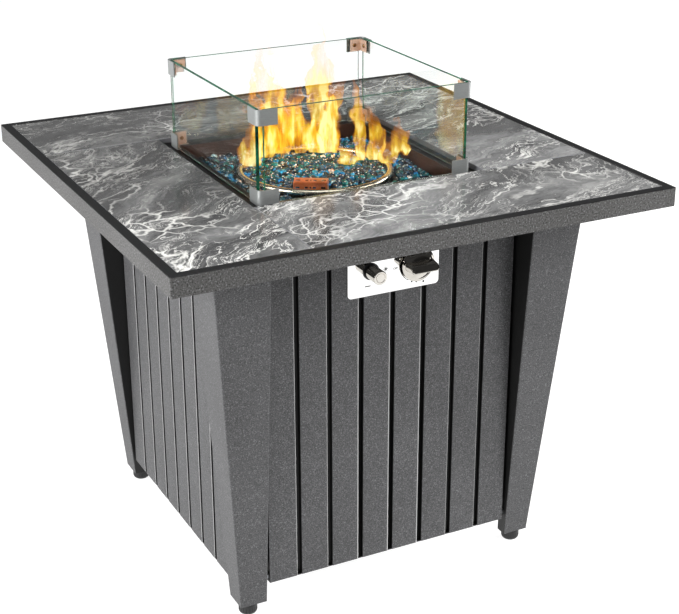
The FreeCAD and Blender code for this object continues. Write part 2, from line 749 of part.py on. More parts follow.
def panels():
    """Front, right and left panels. The front one is cut out for the controls."""
    for turn, side in enumerate(SIDES):
        if side == "back":
            continue
        name = f"{side}_panel"
        body = new_body(name)
        slatted_skin(body, name, PANEL_HALF, d.panel_bottom, PANEL_TOP, d.panel_flange)
        if side == "front":
            window = new_sketch(body, "control_window", "XZ_Plane", PANEL_FACE)
            half = d.control_opening_width / 2
            middle = CONTROL_LEVEL
            rectangle(window, -half, half, middle - d.control_opening_height / 2,
                      middle + d.control_opening_height / 2)
            pocket(body, "control_window_cut", window, d.groove_depth + 2 * d.panel_sheet, along=False)
        body.Placement = Placement(Vector(), quarter(turn))
        keep(body)


# Legs
def leaning_block(body, name, kind, low, high, edge):
    """A block between the given edge and an outer corner that moves out from low to high."""
    block = body.newObject(f"PartDesign::{kind}Wedge", name)
    spans = (("Xmin", -low), ("Xmax", -edge), ("X2min", -high), ("X2max", -edge), ("Zmin", edge), ("Zmax", low),
             ("Z2min", edge), ("Z2max", high), ("Ymin", d.leg_bottom), ("Ymax", PANEL_TOP))
    for prop, amount in spans:
        bind(block, prop, amount)
    block.Placement = Placement(Vector(), FORWARD)
    body.Tip = block


def leg_end(corner):
    """The plate that closes a leg, cut off between its two returns."""
    edge = d.leg_edge + d.leg_sheet / 2
    corner = corner - d.leg_sheet / 2
    return [(-edge, -LEG_RETURN), (-edge, -corner), (-corner, -corner), (-corner, -edge), (-LEG_RETURN, -edge)]


def outer_fold(edge):
    """The three long edges on the outside of a leg's folds."""
    box = edge.BoundBox
    tall = box.ZLength > number(PANEL_TOP - d.leg_bottom) / 2
    return tall and (near(box.XMin, -d.leg_head_corner) or near(box.YMin, -d.leg_head_corner))


def legs():
    """Legs that lean out to the top, each a tapered fold round one corner of the body."""
    t = d.leg_sheet
    for turn, corner in enumerate(CORNERS):
        name = f"leg_{corner}"
        body = new_body(name)
        leaning_block(body, f"{name}_outside", "Additive", d.leg_foot_corner, d.leg_head_corner, d.leg_edge)
        rounded(body, f"{name}_folds", d.leg_bend, outer_fold)
        leaning_block(body, f"{name}_inside", "Subtractive", d.leg_foot_corner - t, d.leg_head_corner - t,
                      d.leg_edge + t)
        back = new_sketch(body, f"{name}_back", level=d.leg_bottom)
        rectangle(back, -LEG_RETURN, -d.leg_edge, -LEG_RETURN, -d.leg_edge)
        pocket(body, f"{name}_back_cut", back, PANEL_TOP - d.leg_bottom)
        foot = new_sketch(body, f"{name}_foot", level=d.leg_bottom)
        outline(foot, leg_end(d.leg_foot_corner))
        pad(body, f"{name}_foot_plate", foot, d.leg_plate)
        head = new_sketch(body, f"{name}_head", level=PANEL_TOP - d.leg_plate)
        outline(head, leg_end(d.leg_head_corner))
        pad(body, f"{name}_head_plate", head, d.leg_plate)
        leg_nut(body, name)
        body.Placement = Placement(Vector(), quarter(turn))
        keep(body)


def leg_nut(body, name):
    """Welded nut for the foot, and the hole for its stud."""
    nut = new_sketch(body, f"{name}_nut", level=d.leg_bottom + d.leg_plate)
    hexagon_outline(nut, -d.foot_place, -d.foot_place, d.foot_nut_size)
    pad(body, f"{name}_nut_blank", nut, d.foot_nut_height)
    bore = new_sketch(body, f"{name}_bore", level=d.leg_bottom)
    circle(bore, -d.foot_place, -d.foot_place, d.foot_stud_radius + d.foot_stud_clearance)
    pocket(body, f"{name}_bore_cut", bore, d.leg_plate + d.foot_nut_height)


def hexagon_outline(sketch, x, y, size):
    """A hexagon with two corners along the first axis."""
    half = size / 2
    flat = size * 0.866
    outline(sketch, [(x + size, y), (x + half, y + flat), (x - half, y + flat), (x - size, y),
                     (x - half, y - flat), (x + half, y - flat)])


def feet():
    """Round glides, each on a stud that screws into its leg."""
    for turn, corner in enumerate(CORNERS):
        name = f"foot_{corner}"
        body = new_body(name)
        under = d.foot_radius - d.foot_round
        many_sided(body, f"{name}_glide", d.foot_sides,
                   [(under, 0), (d.foot_radius, d.foot_round), (d.foot_radius, d.foot_height)])
        stud = new_sketch(body, f"{name}_stud", level=d.foot_height)
        circle(stud, 0, 0, d.foot_stud_radius)
        pad(body, f"{name}_stud_rod", stud, d.foot_stud_length)
        spot = quarter(turn).multVec(Vector(-1, -1, 0))
        place(body, d.foot_place * round(spot.x), d.foot_place * round(spot.y), 0)
        keep(body)


# Base shelf
def base_shelf():
    """Cross-shaped floor of the body, with a collared opening for the foot of a gas bottle."""
    name = "base_shelf"
    body = new_body(name)
    level = d.panel_bottom + d.panel_sheet
    reach = PANEL_FACE - d.groove_depth - d.panel_sheet - d.shelf_clearance
    arm = PANEL_HALF - d.panel_sheet - d.shelf_clearance
    plan = new_sketch(body, "shelf_plan", level=level)
    outline(plan, [(-arm, -reach), (arm, -reach), (arm, -arm), (reach, -arm), (reach, arm), (arm, arm),
                   (arm, reach), (-arm, reach), (-arm, arm), (-reach, arm), (-reach, -arm), (-arm, -arm)])
    pad(body, "shelf_sheet_metal", plan, d.shelf_sheet)
    collar = new_sketch(body, "tank_collar", level=level)
    circle(collar, 0, 0, d.tank_ring_radius + d.shelf_sheet)
    pad(body, "tank_collar_wall", collar, d.shelf_sheet + d.tank_collar_height)
    hole = new_sketch(body, "tank_hole", level=level)
    circle(hole, 0, 0, d.tank_ring_radius)
    pocket(body, "tank_hole_cut", hole, d.shelf_sheet + d.tank_collar_height)
    keep(body)


# Bolts
def leg_bolt_places():
    """Every bolt from a panel's side flange out to a leg, as a point on the flange and a direction."""
    places = []
    line = number(BOLT_LINE)
    outside = number(PANEL_HALF)
    for turn in range(4):
        for level in leg_bolt_levels():
            height = number(level)
            for point, out in ((Vector(-outside, -line, height), Vector(-1, 0, 0)),
                               (Vector(-line, -outside, height), Vector(0, -1, 0))):
                spin = quarter(turn)
                places.append((spin.multVec(point), spin.multVec(out)))
    return places


def fasteners():
    """Hexagon spacers between panels and legs, and the bolt heads on both sides."""
    spacer = prism("leg_spacer_pattern", 6, d.spacer_size, d.leg_edge - PANEL_HALF)
    head = prism("bolt_head_pattern", 6, d.bolt_head_size, d.bolt_head_height)
    upright_axis = Vector(0, 0, 1)
    spots = [Placement(point, Rotation(upright_axis, out)) for point, out in leg_bolt_places()]
    keep(copies("leg_spacers", spacer, spots))
    spots = []
    for point, out in leg_bolt_places():
        inner = point - out * number(d.panel_sheet + d.bolt_head_height)
        outer = point + out * number(d.leg_edge - PANEL_HALF + d.leg_sheet)
        spots += [Placement(inner, Rotation(upright_axis, out)), Placement(outer, Rotation(upright_axis, out))]
    keep(copies("leg_bolts", head, spots))
    under = number(PANEL_TOP - d.panel_sheet - d.bolt_head_height)
    spots = [Placement(Vector(number(x), number(y), under), UP) for x, y in flange_bolt_spots()]
    under = number(PANEL_TOP - d.leg_plate - d.bolt_head_height)
    spots += [Placement(Vector(number(x), number(y), under), UP) for x, y in head_bolt_spots()]
    over = number(d.panel_bottom + d.panel_sheet + d.shelf_sheet)
    spots += [Placement(Vector(number(x), number(y), over), UP) for x, y in shelf_bolt_spots()]
    keep(copies("flange_bolts", head, spots))


# Door and its frame. They are drawn as a front and then turned to the back.
def back_frame():
    name = "back_frame"
    body = new_body(name)
    t = d.panel_sheet
    half = DOORWAY_HALF
    skin = new_sketch(body, "frame_skin", level=d.panel_bottom)
    rectangle(skin, -PANEL_HALF, PANEL_HALF, -PANEL_FACE, -PANEL_FACE + t)
    pad(body, "frame_sheet", skin, PANEL_TOP - d.panel_bottom)
    folded_edge(body, name, PANEL_HALF, d.panel_bottom, PANEL_TOP, d.panel_flange)
    edge = new_sketch(body, "opening_edge", "XZ_Plane", PANEL_FACE)
    rectangle(edge, -half - t, half + t, d.door_opening_bottom - t, DOORWAY_TOP + t)
    pad(body, "opening_fold", edge, d.door_return, backwards=True)
    shelf = new_sketch(body, "catch_fold", level=DOORWAY_TOP)
    rectangle(shelf, -half, half, -PANEL_FACE + t, -PANEL_FACE + d.catch_return)
    pad(body, "catch_fold_sheet", shelf, t)
    opening = new_sketch(body, "door_opening", "XZ_Plane", PANEL_FACE)
    rectangle(opening, -half, half, d.door_opening_bottom, DOORWAY_TOP)
    pocket(body, "door_opening_cut", opening, d.door_return, along=False)
    pins = new_sketch(body, "frame_pin_holes", level=d.door_opening_bottom - t)
    circle(pins, PIVOT_X, -PIVOT_Y, d.pivot_radius + d.pivot_fit)
    pocket(body, "frame_pin_hole_cuts", pins, DOORWAY_TOP - d.door_opening_bottom + 2 * t)
    body.Placement = Placement(Vector(), quarter(2))
    keep(body)


def door_panel():
    name = "door_panel"
    body = new_body(name)
    slatted_skin(body, name, DOOR_HALF, DOOR_BOTTOM, DOOR_TOP, d.door_return)
    pins = new_sketch(body, "door_pin_holes", level=DOOR_BOTTOM)
    circle(pins, PIVOT_X, -PIVOT_Y, d.pivot_radius + d.pivot_clearance)
    pocket(body, "door_pin_hole_cuts", pins, DOOR_TOP - DOOR_BOTTOM)
    body.Placement = Placement(Vector(), quarter(2))
    keep(body)


def door_pivots():
    """Two pins fixed in the frame. Each has a collar, and the door hangs between them."""
    pattern = new_body("pivot_pattern")
    collar = d.door_end_gap - d.running_gap
    tail = d.panel_sheet + d.pivot_reach / 2
    turned(pattern, "pivot_turning", [(0, -tail), (d.pivot_radius, -tail), (d.pivot_radius, 0),
                                      (d.pivot_collar_radius, 0), (d.pivot_collar_radius, collar),
                                      (d.pivot_radius, collar), (d.pivot_radius, collar + d.pivot_reach),
                                      (0, collar + d.pivot_reach)])
    x = -number(PIVOT_X)
    y = number(PIVOT_Y)
    low = Placement(Vector(x, y, number(d.door_opening_bottom)), UP)
    high = Placement(Vector(x, y, number(DOORWAY_TOP)), Rotation(Vector(1, 0, 0), 180))
    keep(copies("door_pivot_pins", pattern, [low, high]))


def door_pull():
    """A turned pull on the door's free side."""
    name = "door_pull"
    body = new_body(name)
    many_sided(body, "pull_turning", d.pull_sides,
               [(d.pull_foot_radius, 0), (d.pull_neck_radius, d.pull_foot),
                (d.pull_neck_radius, d.pull_flare_start), (d.pull_radius, d.pull_flare_end),
                (d.pull_radius, d.pull_crown_start), (d.pull_front_radius, d.pull_length)])
    place(body, DOOR_HALF - d.pull_inset, PANEL_FACE, DOOR_TOP - d.pull_drop, Rotation(Vector(1, 0, 0), -90))
    keep(body)


def door_catch():
    """Magnet block under the deep fold of the frame, and the plate on the door that meets it."""
    x = DOOR_HALF - d.catch_inset
    inside = PANEL_FACE - d.door_return
    block = doc.addObject("Part::Box", "catch_magnet")
    bind(block, "Length", d.catch_width)
    bind(block, "Width", d.catch_depth)
    bind(block, "Height", d.catch_height)
    place(block, x - d.catch_width / 2, inside - d.running_gap - d.catch_depth, DOORWAY_TOP - d.catch_height)
    block.Label = "catch_magnet"
    keep(block)
    body = new_body("catch_striker")
    t = d.striker_sheet
    under = DOOR_TOP - d.panel_sheet
    side = new_sketch(body, "striker_side", "YZ_Plane", x - d.striker_width / 2)
    foot = under - d.catch_height
    outline(side, [(inside, foot), (inside + t, foot), (inside + t, under - t),
                   (inside + d.striker_leg, under - t), (inside + d.striker_leg, under), (inside, under)])
    pad(body, "striker_fold", side, d.striker_width)
    keep(body)


# Burner pan and heat shield
def burner_pan():
    """Square pan that hangs in the opening of the top. Its flange is the ledge round the fire."""
    name = "burner_pan"
    body = new_body(name)
    outer = PAN_HALF
    flange = new_sketch(body, "pan_flange", level=TRAY_TOP)
    square(flange, RECESS - d.pan_gap)
    pad(body, "pan_ledge", flange, d.pan_sheet)
    box = new_sketch(body, "pan_box", level=PAN_UNDERSIDE)
    square(box, outer)
    pad(body, "pan_blank", box, LEDGE - PAN_UNDERSIDE)
    well = new_sketch(body, "pan_well", level=PAN_FLOOR)
    square(well, outer - d.pan_sheet)
    pocket(body, "pan_well_cut", well, d.pan_depth)
    holes = new_sketch(body, "pan_holes", level=PAN_UNDERSIDE)
    circle(holes, 0, 0, d.nipple_radius + d.floor_hole_gap)
    pocket(body, "pan_hole_cuts", holes, d.pan_sheet)
    keep(body)


def heat_shield():
    """Plate hung under the pan on four posts, so that the valve and the gas bottle stay cool."""
    top = PAN_UNDERSIDE - d.shield_drop
    body = new_body("heat_shield")
    plan = new_sketch(body, "shield_plan", level=top - d.shield_sheet)
    square(plan, SHIELD_HALF)
    pad(body, "shield_plate", plan, d.shield_sheet)
    rounded(body, "shield_corners", d.shield_corner, upright)
    keep(body)
    post = prism("shield_post_pattern", 6, d.post_size, d.shield_drop)
    away = number(SHIELD_HALF - d.post_inset)
    spots = [Placement(Vector(away * sx, away * sy, number(top)), UP) for sx in (-1, 1) for sy in (-1, 1)]
    keep(copies("shield_posts", post, spots))


# Bowl and burner
def bowl_wall(level, offset):
    """Radius of the bowl's sloping wall at a level, moved in by an offset."""
    slope = (BOWL_WALL_RADIUS - d.bowl_roll / 2 - d.bowl_floor_radius) / (d.bowl_height - d.bowl_roll)
    return d.bowl_floor_radius + slope * (level - PAN_FLOOR) - offset


def burner_bowl():
    """Spun stainless bowl with a sloping wall and a rolled rim."""
    name = "burner_bowl"
    body = new_body(name)
    t = d.bowl_sheet
    roll = BOWL_RIM - d.bowl_roll
    hole = d.nipple_radius + d.floor_hole_gap
    turned(body, "bowl_spinning", [(hole, PAN_FLOOR), (d.bowl_floor_radius, PAN_FLOOR),
                                   (bowl_wall(roll, 0), roll), (bowl_wall(roll, t), roll),
                                   (bowl_wall(BOWL_FLOOR, t), BOWL_FLOOR), (hole, BOWL_FLOOR)])
    turned(body, "bowl_rim", six_corners(BOWL_WALL_RADIUS, roll, d.bowl_roll))
    keep(body)


def eight_corners(x, y, radius):
    """A round section drawn with eight corners, two of them level at its top."""
    return [(x + radius * across, y + radius * up) for across, up in
            ((1, 0.414), (0.414, 1), (-0.414, 1), (-1, 0.414),
             (-1, -0.414), (-0.414, -1), (0.414, -1), (1, -0.414))]


def six_corners(x, y, radius):
    """A round section drawn with six corners, two of them level at its top."""
    return [(x + radius * across, y + radius * up) for across, up in
            ((1, 0), (0.577, 1), (-0.577, 1), (-1, 0), (-0.577, -1), (0.577, -1))]


def burner_ring():
    """Ring burner with gas ports, a feed tube across it, and a nipple down through the floors."""
    name = "burner_ring"
    body = new_body(name)
    centre = PAN_FLOOR + d.burner_rise
    hub_top = centre + d.hub_rise
    low = PAN_UNDERSIDE - d.nipple_drop
    hub_low = BOWL_FLOOR + d.running_gap
    ring = new_sketch(body, "burner_ring_plan", level=centre - d.burner_tube)
    regular(ring, d.ring_sides, d.burner_radius + d.burner_tube)
    regular(ring, d.ring_sides, d.burner_radius - d.burner_tube)
    pad(body, "burner_ring_bar", ring, 2 * d.burner_tube)
    rounded(body, "burner_ring_bevels", d.ring_bevel, lambda edge: edge.BoundBox.ZLength < 1, "Chamfer")
    turned(body, "burner_hub", [(0, low), (d.nipple_radius, low), (d.nipple_radius, hub_low),
                                (d.hub_radius, hub_low), (d.hub_radius, hub_top), (0, hub_top)])
    feed = new_sketch(body, "burner_feed", "YZ_Plane", -d.burner_radius)
    outline(feed, eight_corners(0, centre, d.cross_tube))
    pad(body, "burner_feed_tube", feed, 2 * d.burner_radius)
    bore = new_sketch(body, "nipple_bore", level=low)
    circle(bore, 0, 0, d.nipple_bore)
    pocket(body, "nipple_bore_cut", bore, centre - low)
    ports = new_sketch(body, "gas_port", level=centre + d.burner_tube - d.burner_wall * 2)
    circle(ports, 0, d.burner_radius, d.port_radius)
    port = pocket(body, "gas_port_cut", ports, d.burner_wall * 2)
    ring_of = body.newObject("PartDesign::PolarPattern", "gas_ports")
    ring_of.Originals = [port]
    ring_of.Axis = (ports, ["N_Axis"])
    ring_of.Angle = 360
    bind(ring_of, "Occurrences", d.port_count)
    body.Tip = ring_of
    keep(body)


def burner_feed():
    """Locknut, elbow, mixing tube and jet between the burner and the gas pipe."""
    gap = d.floor_hole_gap
    nut = prism("locknut_blank", 6, d.locknut_size, d.locknut_height, z=PAN_UNDERSIDE - d.locknut_height)
    bore = cylinder("locknut_bore", d.nipple_radius + gap / 2, d.locknut_height,
                    z=PAN_UNDERSIDE - d.locknut_height)
    keep(cut("burner_locknut", nut, bore))

    body = new_body("burner_elbow")
    low = PAN_UNDERSIDE - d.elbow_drop
    top = PAN_UNDERSIDE - d.locknut_height
    socket = PAN_UNDERSIDE - d.nipple_drop - gap
    many_sided(body, "elbow_socket", d.elbow_sides, [(d.elbow_radius, low), (d.elbow_radius, top)])
    arm = new_sketch(body, "elbow_arm", "XZ_Plane", 0)
    circle(arm, 0, FEED_LEVEL, d.mixer_radius + d.elbow_wall)
    pad(body, "elbow_outlet", arm, d.elbow_reach)
    nipple = new_sketch(body, "elbow_nipple", level=socket)
    circle(nipple, 0, 0, d.nipple_radius + gap / 2)
    pocket(body, "elbow_nipple_cut", nipple, top - socket)
    seat = new_sketch(body, "elbow_seat", "XZ_Plane", d.mixer_start - gap)
    circle(seat, 0, FEED_LEVEL, d.mixer_radius + d.slip_gap)
    pocket(body, "elbow_seat_cut", seat, d.elbow_reach - d.mixer_start + gap)
    keep(body)

    body = new_body("mixing_tube")
    length = MIXER_END - d.mixer_start
    turned(body, "mixer_wall", [(d.mixer_bore, 0), (d.mixer_radius, 0), (d.mixer_radius, length),
                                (d.mixer_bore, length)])
    slot = new_sketch(body, "air_slots", "YZ_Plane", -d.mixer_radius)
    middle = length - d.air_slot_inset
    rectangle(slot, -d.air_slot_height / 2, d.air_slot_height / 2, middle - d.air_slot_length / 2,
              middle + d.air_slot_length / 2)
    pocket(body, "air_slot_cuts", slot, 2 * d.mixer_radius)
    place(body, 0, -d.mixer_start, FEED_LEVEL, FORWARD)
    keep(body)

    body = new_body("gas_jet")
    spigot = new_sketch(body, "jet_spigot", level=-d.jet_spigot)
    hexagon_outline(spigot, 0, 0, d.mixer_bore - d.slip_gap)
    pad(body, "jet_spigot_pad", spigot, d.jet_spigot)
    flats = new_sketch(body, "jet_flats", level=0)
    hexagon_outline(flats, 0, 0, d.jet_size)
    pad(body, "jet_hexagon", flats, d.jet_length)
    socket = new_sketch(body, "jet_socket", level=d.jet_length - d.pipe_socket)
    circle(socket, 0, 0, d.pipe_radius + d.slip_gap)
    pocket(body, "jet_socket_cut", socket, d.pipe_socket)
    place(body, 0, -MIXER_END, FEED_LEVEL, FORWARD)
    keep(body)


def bent_wire(start, end, lead, radius):
    """A flat double bend: straight, arc, straight, arc, straight. Both ends run along -Y."""
    first = start + lead
    second = end - lead
    slant = (second - first).normalize()
    edges = []
    point = start
    for corner, before, after in ((first, lead * -1, slant), (second, slant * -1, lead)):
        before = Vector(before).normalize()
        after = Vector(after).normalize()
        half = before.getAngle(after) / 2
        trim = radius / math.tan(half)
        entry = corner + before * trim
        leave = corner + after * trim
        middle = corner + (before + after).normalize() * (radius / math.sin(half) - radius)
        edges += [Part.makeLine(point, entry), Part.Arc(entry, middle, leave).toShape()]
        point = leave
    edges.append(Part.makeLine(point, end))
    return Part.Wire(edges)


def gas_pipe():
    """Formed tube from the valve's outlet to the jet, drawn solid with eight sides."""
    level = number(FEED_LEVEL)
    start = Vector(0, -number(MIXER_END + d.jet_length - d.pipe_socket + d.slip_gap), level)
    end_y = -number(PANEL_FACE - d.outlet_reach + d.pipe_socket - d.slip_gap)
    end = Vector(number(d.control_spread), end_y, number(CONTROL_LEVEL))
    wire = bent_wire(start, end, Vector(0, -number(d.pipe_lead), 0), number(d.pipe_bend))
    radius = number(d.pipe_radius)
    turns = [Rotation(Vector(0, 1, 0), 22.5 + 45 * i) for i in range(8)]
    corners = [start + turn.multVec(Vector(radius, 0, 0)) for turn in turns]
    section = Part.makePolygon(corners + corners[:1])
    item = doc.addObject("Part::Feature", "gas_pipe")
    item.Shape = wire.makePipeShell([section], True, False)
    item.Label = "gas_pipe"
    expected = math.sqrt(8) * radius ** 2 * wire.Length
    print(f"gas pipe: volume over expected {item.Shape.Volume / expected:.4f}")
    keep(item)


# Igniter cover, electrode and flame sensor in the bowl
def igniter_cover():
    """Folded box over the electrode, open below and towards the middle, on two legs."""
    name = "igniter_cover"
    body = new_body(name)
    t = d.cover_sheet
    half = d.cover_width / 2
    top = BOWL_RIM + d.cover_rise
    low = top - d.cover_height
    inner = -d.cover_reach + d.cover_depth
    plan = new_sketch(body, "cover_plan", level=low)
    rectangle(plan, -half, half, -d.cover_reach, inner)
    pad(body, "cover_blank", plan, d.cover_height)
    room = new_sketch(body, "cover_room", level=low)
    rectangle(room, -half + t, half - t, -d.cover_reach + t, inner)
    pocket(body, "cover_room_cut", room, d.cover_height - t)
    strips = new_sketch(body, "cover_legs", level=BOWL_FLOOR)
    rectangle(strips, -half, -half + t, inner - d.cover_leg, inner)
    rectangle(strips, half - t, half, inner - d.cover_leg, inner)
    pad(body, "cover_leg_strips", strips, low - BOWL_FLOOR + t)
    slots = new_sketch(body, "cover_slots", level=top - t)
    for sign in (-1, 1):
        x = d.cover_slot_place * sign
        y = -d.cover_reach + d.cover_depth / 2
        rectangle(slots, x - d.cover_slot_length / 2, x + d.cover_slot_length / 2, y - d.cover_slot_width / 2,
                  y + d.cover_slot_width / 2)
    pocket(body, "cover_slot_cuts", slots, t)
    turn = Rotation(Vector(0, 0, 1), -number(d.cover_angle))
    body.Placement = Placement(Vector(), turn)
    bind(body, "Placement.Rotation.Angle", d.cover_angle)
    body.Placement.Rotation.Axis = Vector(0, 0, -1)
    keep(body)


def pilot_piece(name, x, points):
    """A turned piece that stands on the bowl's floor under the cover."""
    body = new_body(name)
    many_sided(body, f"{name}_turning", d.pilot_sides, points)
    turn = Rotation(Vector(0, 0, 1), -number(d.cover_angle))
    spot = turn.multVec(Vector(number(x), -number(d.cover_reach - d.cover_depth / 2), 0))
    body.Placement = Placement(Vector(spot.x, spot.y, number(BOWL_FLOOR)), turn)
    keep(body)


def pilot():
    base = d.electrode_base
    top = d.electrode_height
    pilot_piece("spark_electrode", -d.electrode_place,
                [(base, 0), (base, base), (d.electrode_radius, base),
                 (d.electrode_radius, d.electrode_shoulder), (d.electrode_tip, top)])
    pilot_piece("flame_sensor", d.electrode_place,
                [(base, 0), (base, base), (d.sensor_radius, base), (d.sensor_radius, top)])


# Fire glass
def fire_glass():
    """The two beds of fire glass, as closed solids: one on the burner in the bowl, one round the bowl."""
    body = new_body("bowl_bed_pattern")
    low = PAN_FLOOR + d.burner_rise + d.hub_rise + d.bed_gap
    edge = BOWL_RIM - d.bed_drop - d.bed_gap
    reach = BOWL_WALL_RADIUS - d.bowl_roll - d.bed_gap
    foot = bowl_wall(low, d.bowl_sheet + d.bed_gap)
    top = edge + d.bed_crown
    many_sided(body, "bowl_bed", d.bed_sides, [(foot, low), (reach, edge), (reach, top)])
    rounded(body, "bowl_bed_crown", d.bed_crown - d.bed_gap, lambda item: at_height(item, top), "Chamfer")
    room = doc.addObject("Part::Box", "cover_space")
    bind(room, "Length", d.cover_width + 2 * d.bed_gap)
    bind(room, "Width", d.cover_depth + 2 * d.bed_gap)
    bind(room, "Height", d.bowl_height)
    turn = Rotation(Vector(0, 0, 1), -number(d.cover_angle))
    spot = turn.multVec(Vector(-number(d.cover_width / 2 + d.bed_gap), -number(d.cover_reach + d.bed_gap), 0))
    room.Placement = Placement(Vector(spot.x, spot.y, number(PAN_FLOOR)), turn)
    keep(cut("fire_glass_bowl", body, room))

    body = new_body("fire_glass_pan")
    plan = new_sketch(body, "pan_bed_plan", level=PAN_FLOOR + d.bed_gap)
    square(plan, PAN_HALF - d.pan_sheet - d.bed_gap)
    circle(plan, 0, 0, d.bowl_rim_radius + d.bed_gap)
    pad(body, "pan_bed_layer", plan, d.pan_depth - d.pan_bed_drop - d.bed_gap)
    keep(body)


# Wind guard
def guard_glass():
    for turn, side in enumerate(SIDES):
        name = f"guard_glass_{side}"
        body = new_body(name)
        half = GUARD_HALF - d.glass_inset
        pane = new_sketch(body, f"{name}_pane", "XZ_Plane", GLASS_FACE)
        rectangle(pane, -half, half, GLASS_BOTTOM, GLASS_TOP)
        pad(body, f"{name}_sheet", pane, d.glass_thickness, backwards=True)
        holes = new_sketch(body, f"{name}_holes", "XZ_Plane", GLASS_FACE)
        for sign in (-1, 1):
            for level in (LOWER_CLIP, UPPER_CLIP):
                outline(holes, eight_corners(CLIP_HOLE * sign, level, d.glass_hole_radius))
        pocket(body, f"{name}_hole_cuts", holes, d.glass_thickness, along=False)
        body.Placement = Placement(Vector(), quarter(turn))
        keep(body)


def angle_outline(corner, leg, thickness):
    """An angle round the front left corner of the guard."""
    return [(-corner, -corner), (-corner + leg, -corner), (-corner + leg, -corner + thickness),
            (-corner + thickness, -corner + thickness), (-corner + thickness, -corner + leg),
            (-corner, -corner + leg)]


def outer_clip(name, level, floor):
    """Corner clip with a rounded outside and two bosses that pass through the glass to the inner plate."""
    body = new_body(f"{name}_pattern")
    corner = GUARD_HALF
    inner = corner - d.clip_sheet
    low = level - d.clip_height / 2
    angle = new_sketch(body, f"{name}_angle", level=low)
    outline(angle, angle_outline(corner, d.clip_leg, d.clip_sheet))
    pad(body, f"{name}_wall", angle, d.clip_height)
    if floor:
        foot = new_sketch(body, f"{name}_floor", level=low)
        outline(foot, angle_outline(corner, d.clip_leg, d.clip_floor))
        pad(body, f"{name}_floor_sheet", foot, d.clip_sheet)
    folds = (("corner", d.clip_round, corner), ("inner_corner", d.clip_round - d.clip_sheet, inner))
    for fold, radius, reach in folds:
        rounded(body, f"{name}_{fold}", radius,
                lambda edge: upright(edge) and near(edge.BoundBox.XMin, -reach)
                and near(edge.BoundBox.YMin, -reach))
    length = d.glass_thickness + 2 * d.clip_gap
    for plane, side in (("XZ_Plane", 1), ("YZ_Plane", -1)):
        boss = new_sketch(body, f"{name}_boss_{plane[:2].lower()}", plane, inner * side)
        outline(boss, eight_corners(-CLIP_HOLE, level, d.clip_boss_radius))
        pad(body, f"{boss.Name}_pad", boss, length, backwards=side > 0)
    return body


def guard_clips():
    """Corner clips, inner plates and screw heads of the wind guard, each kind as one group."""
    around = [Placement(Vector(), quarter(turn)) for turn in range(4)]
    keep(copies("guard_top_clips", outer_clip("top_clip", UPPER_CLIP, False), around))
    keep(copies("guard_bottom_clips", outer_clip("bottom_clip", LOWER_CLIP, True), around))

    plate = new_body("clip_plate_pattern")
    corner = GLASS_FACE - d.glass_thickness - d.clip_gap * 2
    angle = new_sketch(plate, "clip_plate_angle", level=-d.plate_height / 2)
    outline(angle, angle_outline(corner, d.plate_leg, d.clip_sheet))
    pad(plate, "clip_plate_wall", angle, d.plate_height)
    levels = (number(LOWER_CLIP), number(UPPER_CLIP))
    spots = [Placement(Vector(0, 0, level), quarter(turn)) for level in levels for turn in range(4)]
    keep(copies("guard_clip_plates", plate, spots))

    head = prism("clip_screw_pattern", 8, d.clip_screw_head, d.clip_screw_head_height)
    seat = number(corner - d.clip_sheet)
    away = number(CLIP_HOLE)
    spots = []
    for level in levels:
        for turn in range(4):
            spin = quarter(turn)
            for point, inward in ((Vector(-away, -seat, level), Vector(0, 1, 0)),
                                  (Vector(-seat, -away, level), Vector(1, 0, 0))):
                spots.append(Placement(spin.multVec(point), Rotation(Vector(0, 0, 1), spin.multVec(inward))))
    keep(copies("guard_screws", head, spots))


# Controls. They are drawn with their axis up and the panel's face at zero, then turned to face forward.
def face_forward(body, x):
    place(body, x, -PANEL_FACE, CONTROL_LEVEL, FORWARD)


def control_plate():
    body = new_body("control_plate")
    half = d.plate_width / 2
    plan = new_sketch(body, "plate_plan")
    rectangle(plan, -half, half, -d.plate_tall / 2, d.plate_tall / 2)
    pad(body, "plate_blank", plan, d.plate_sheet)
    rounded(body, "plate_corners", d.plate_round, upright)
    holes = new_sketch(body, "plate_holes")
    circle(holes, d.control_spread, 0, d.plate_hole)
    circle(holes, -d.control_spread, 0, d.igniter_radius + d.igniter_gap)
    pocket(body, "plate_hole_cuts", holes, d.plate_sheet)
    face_forward(body, 0)
    keep(body)


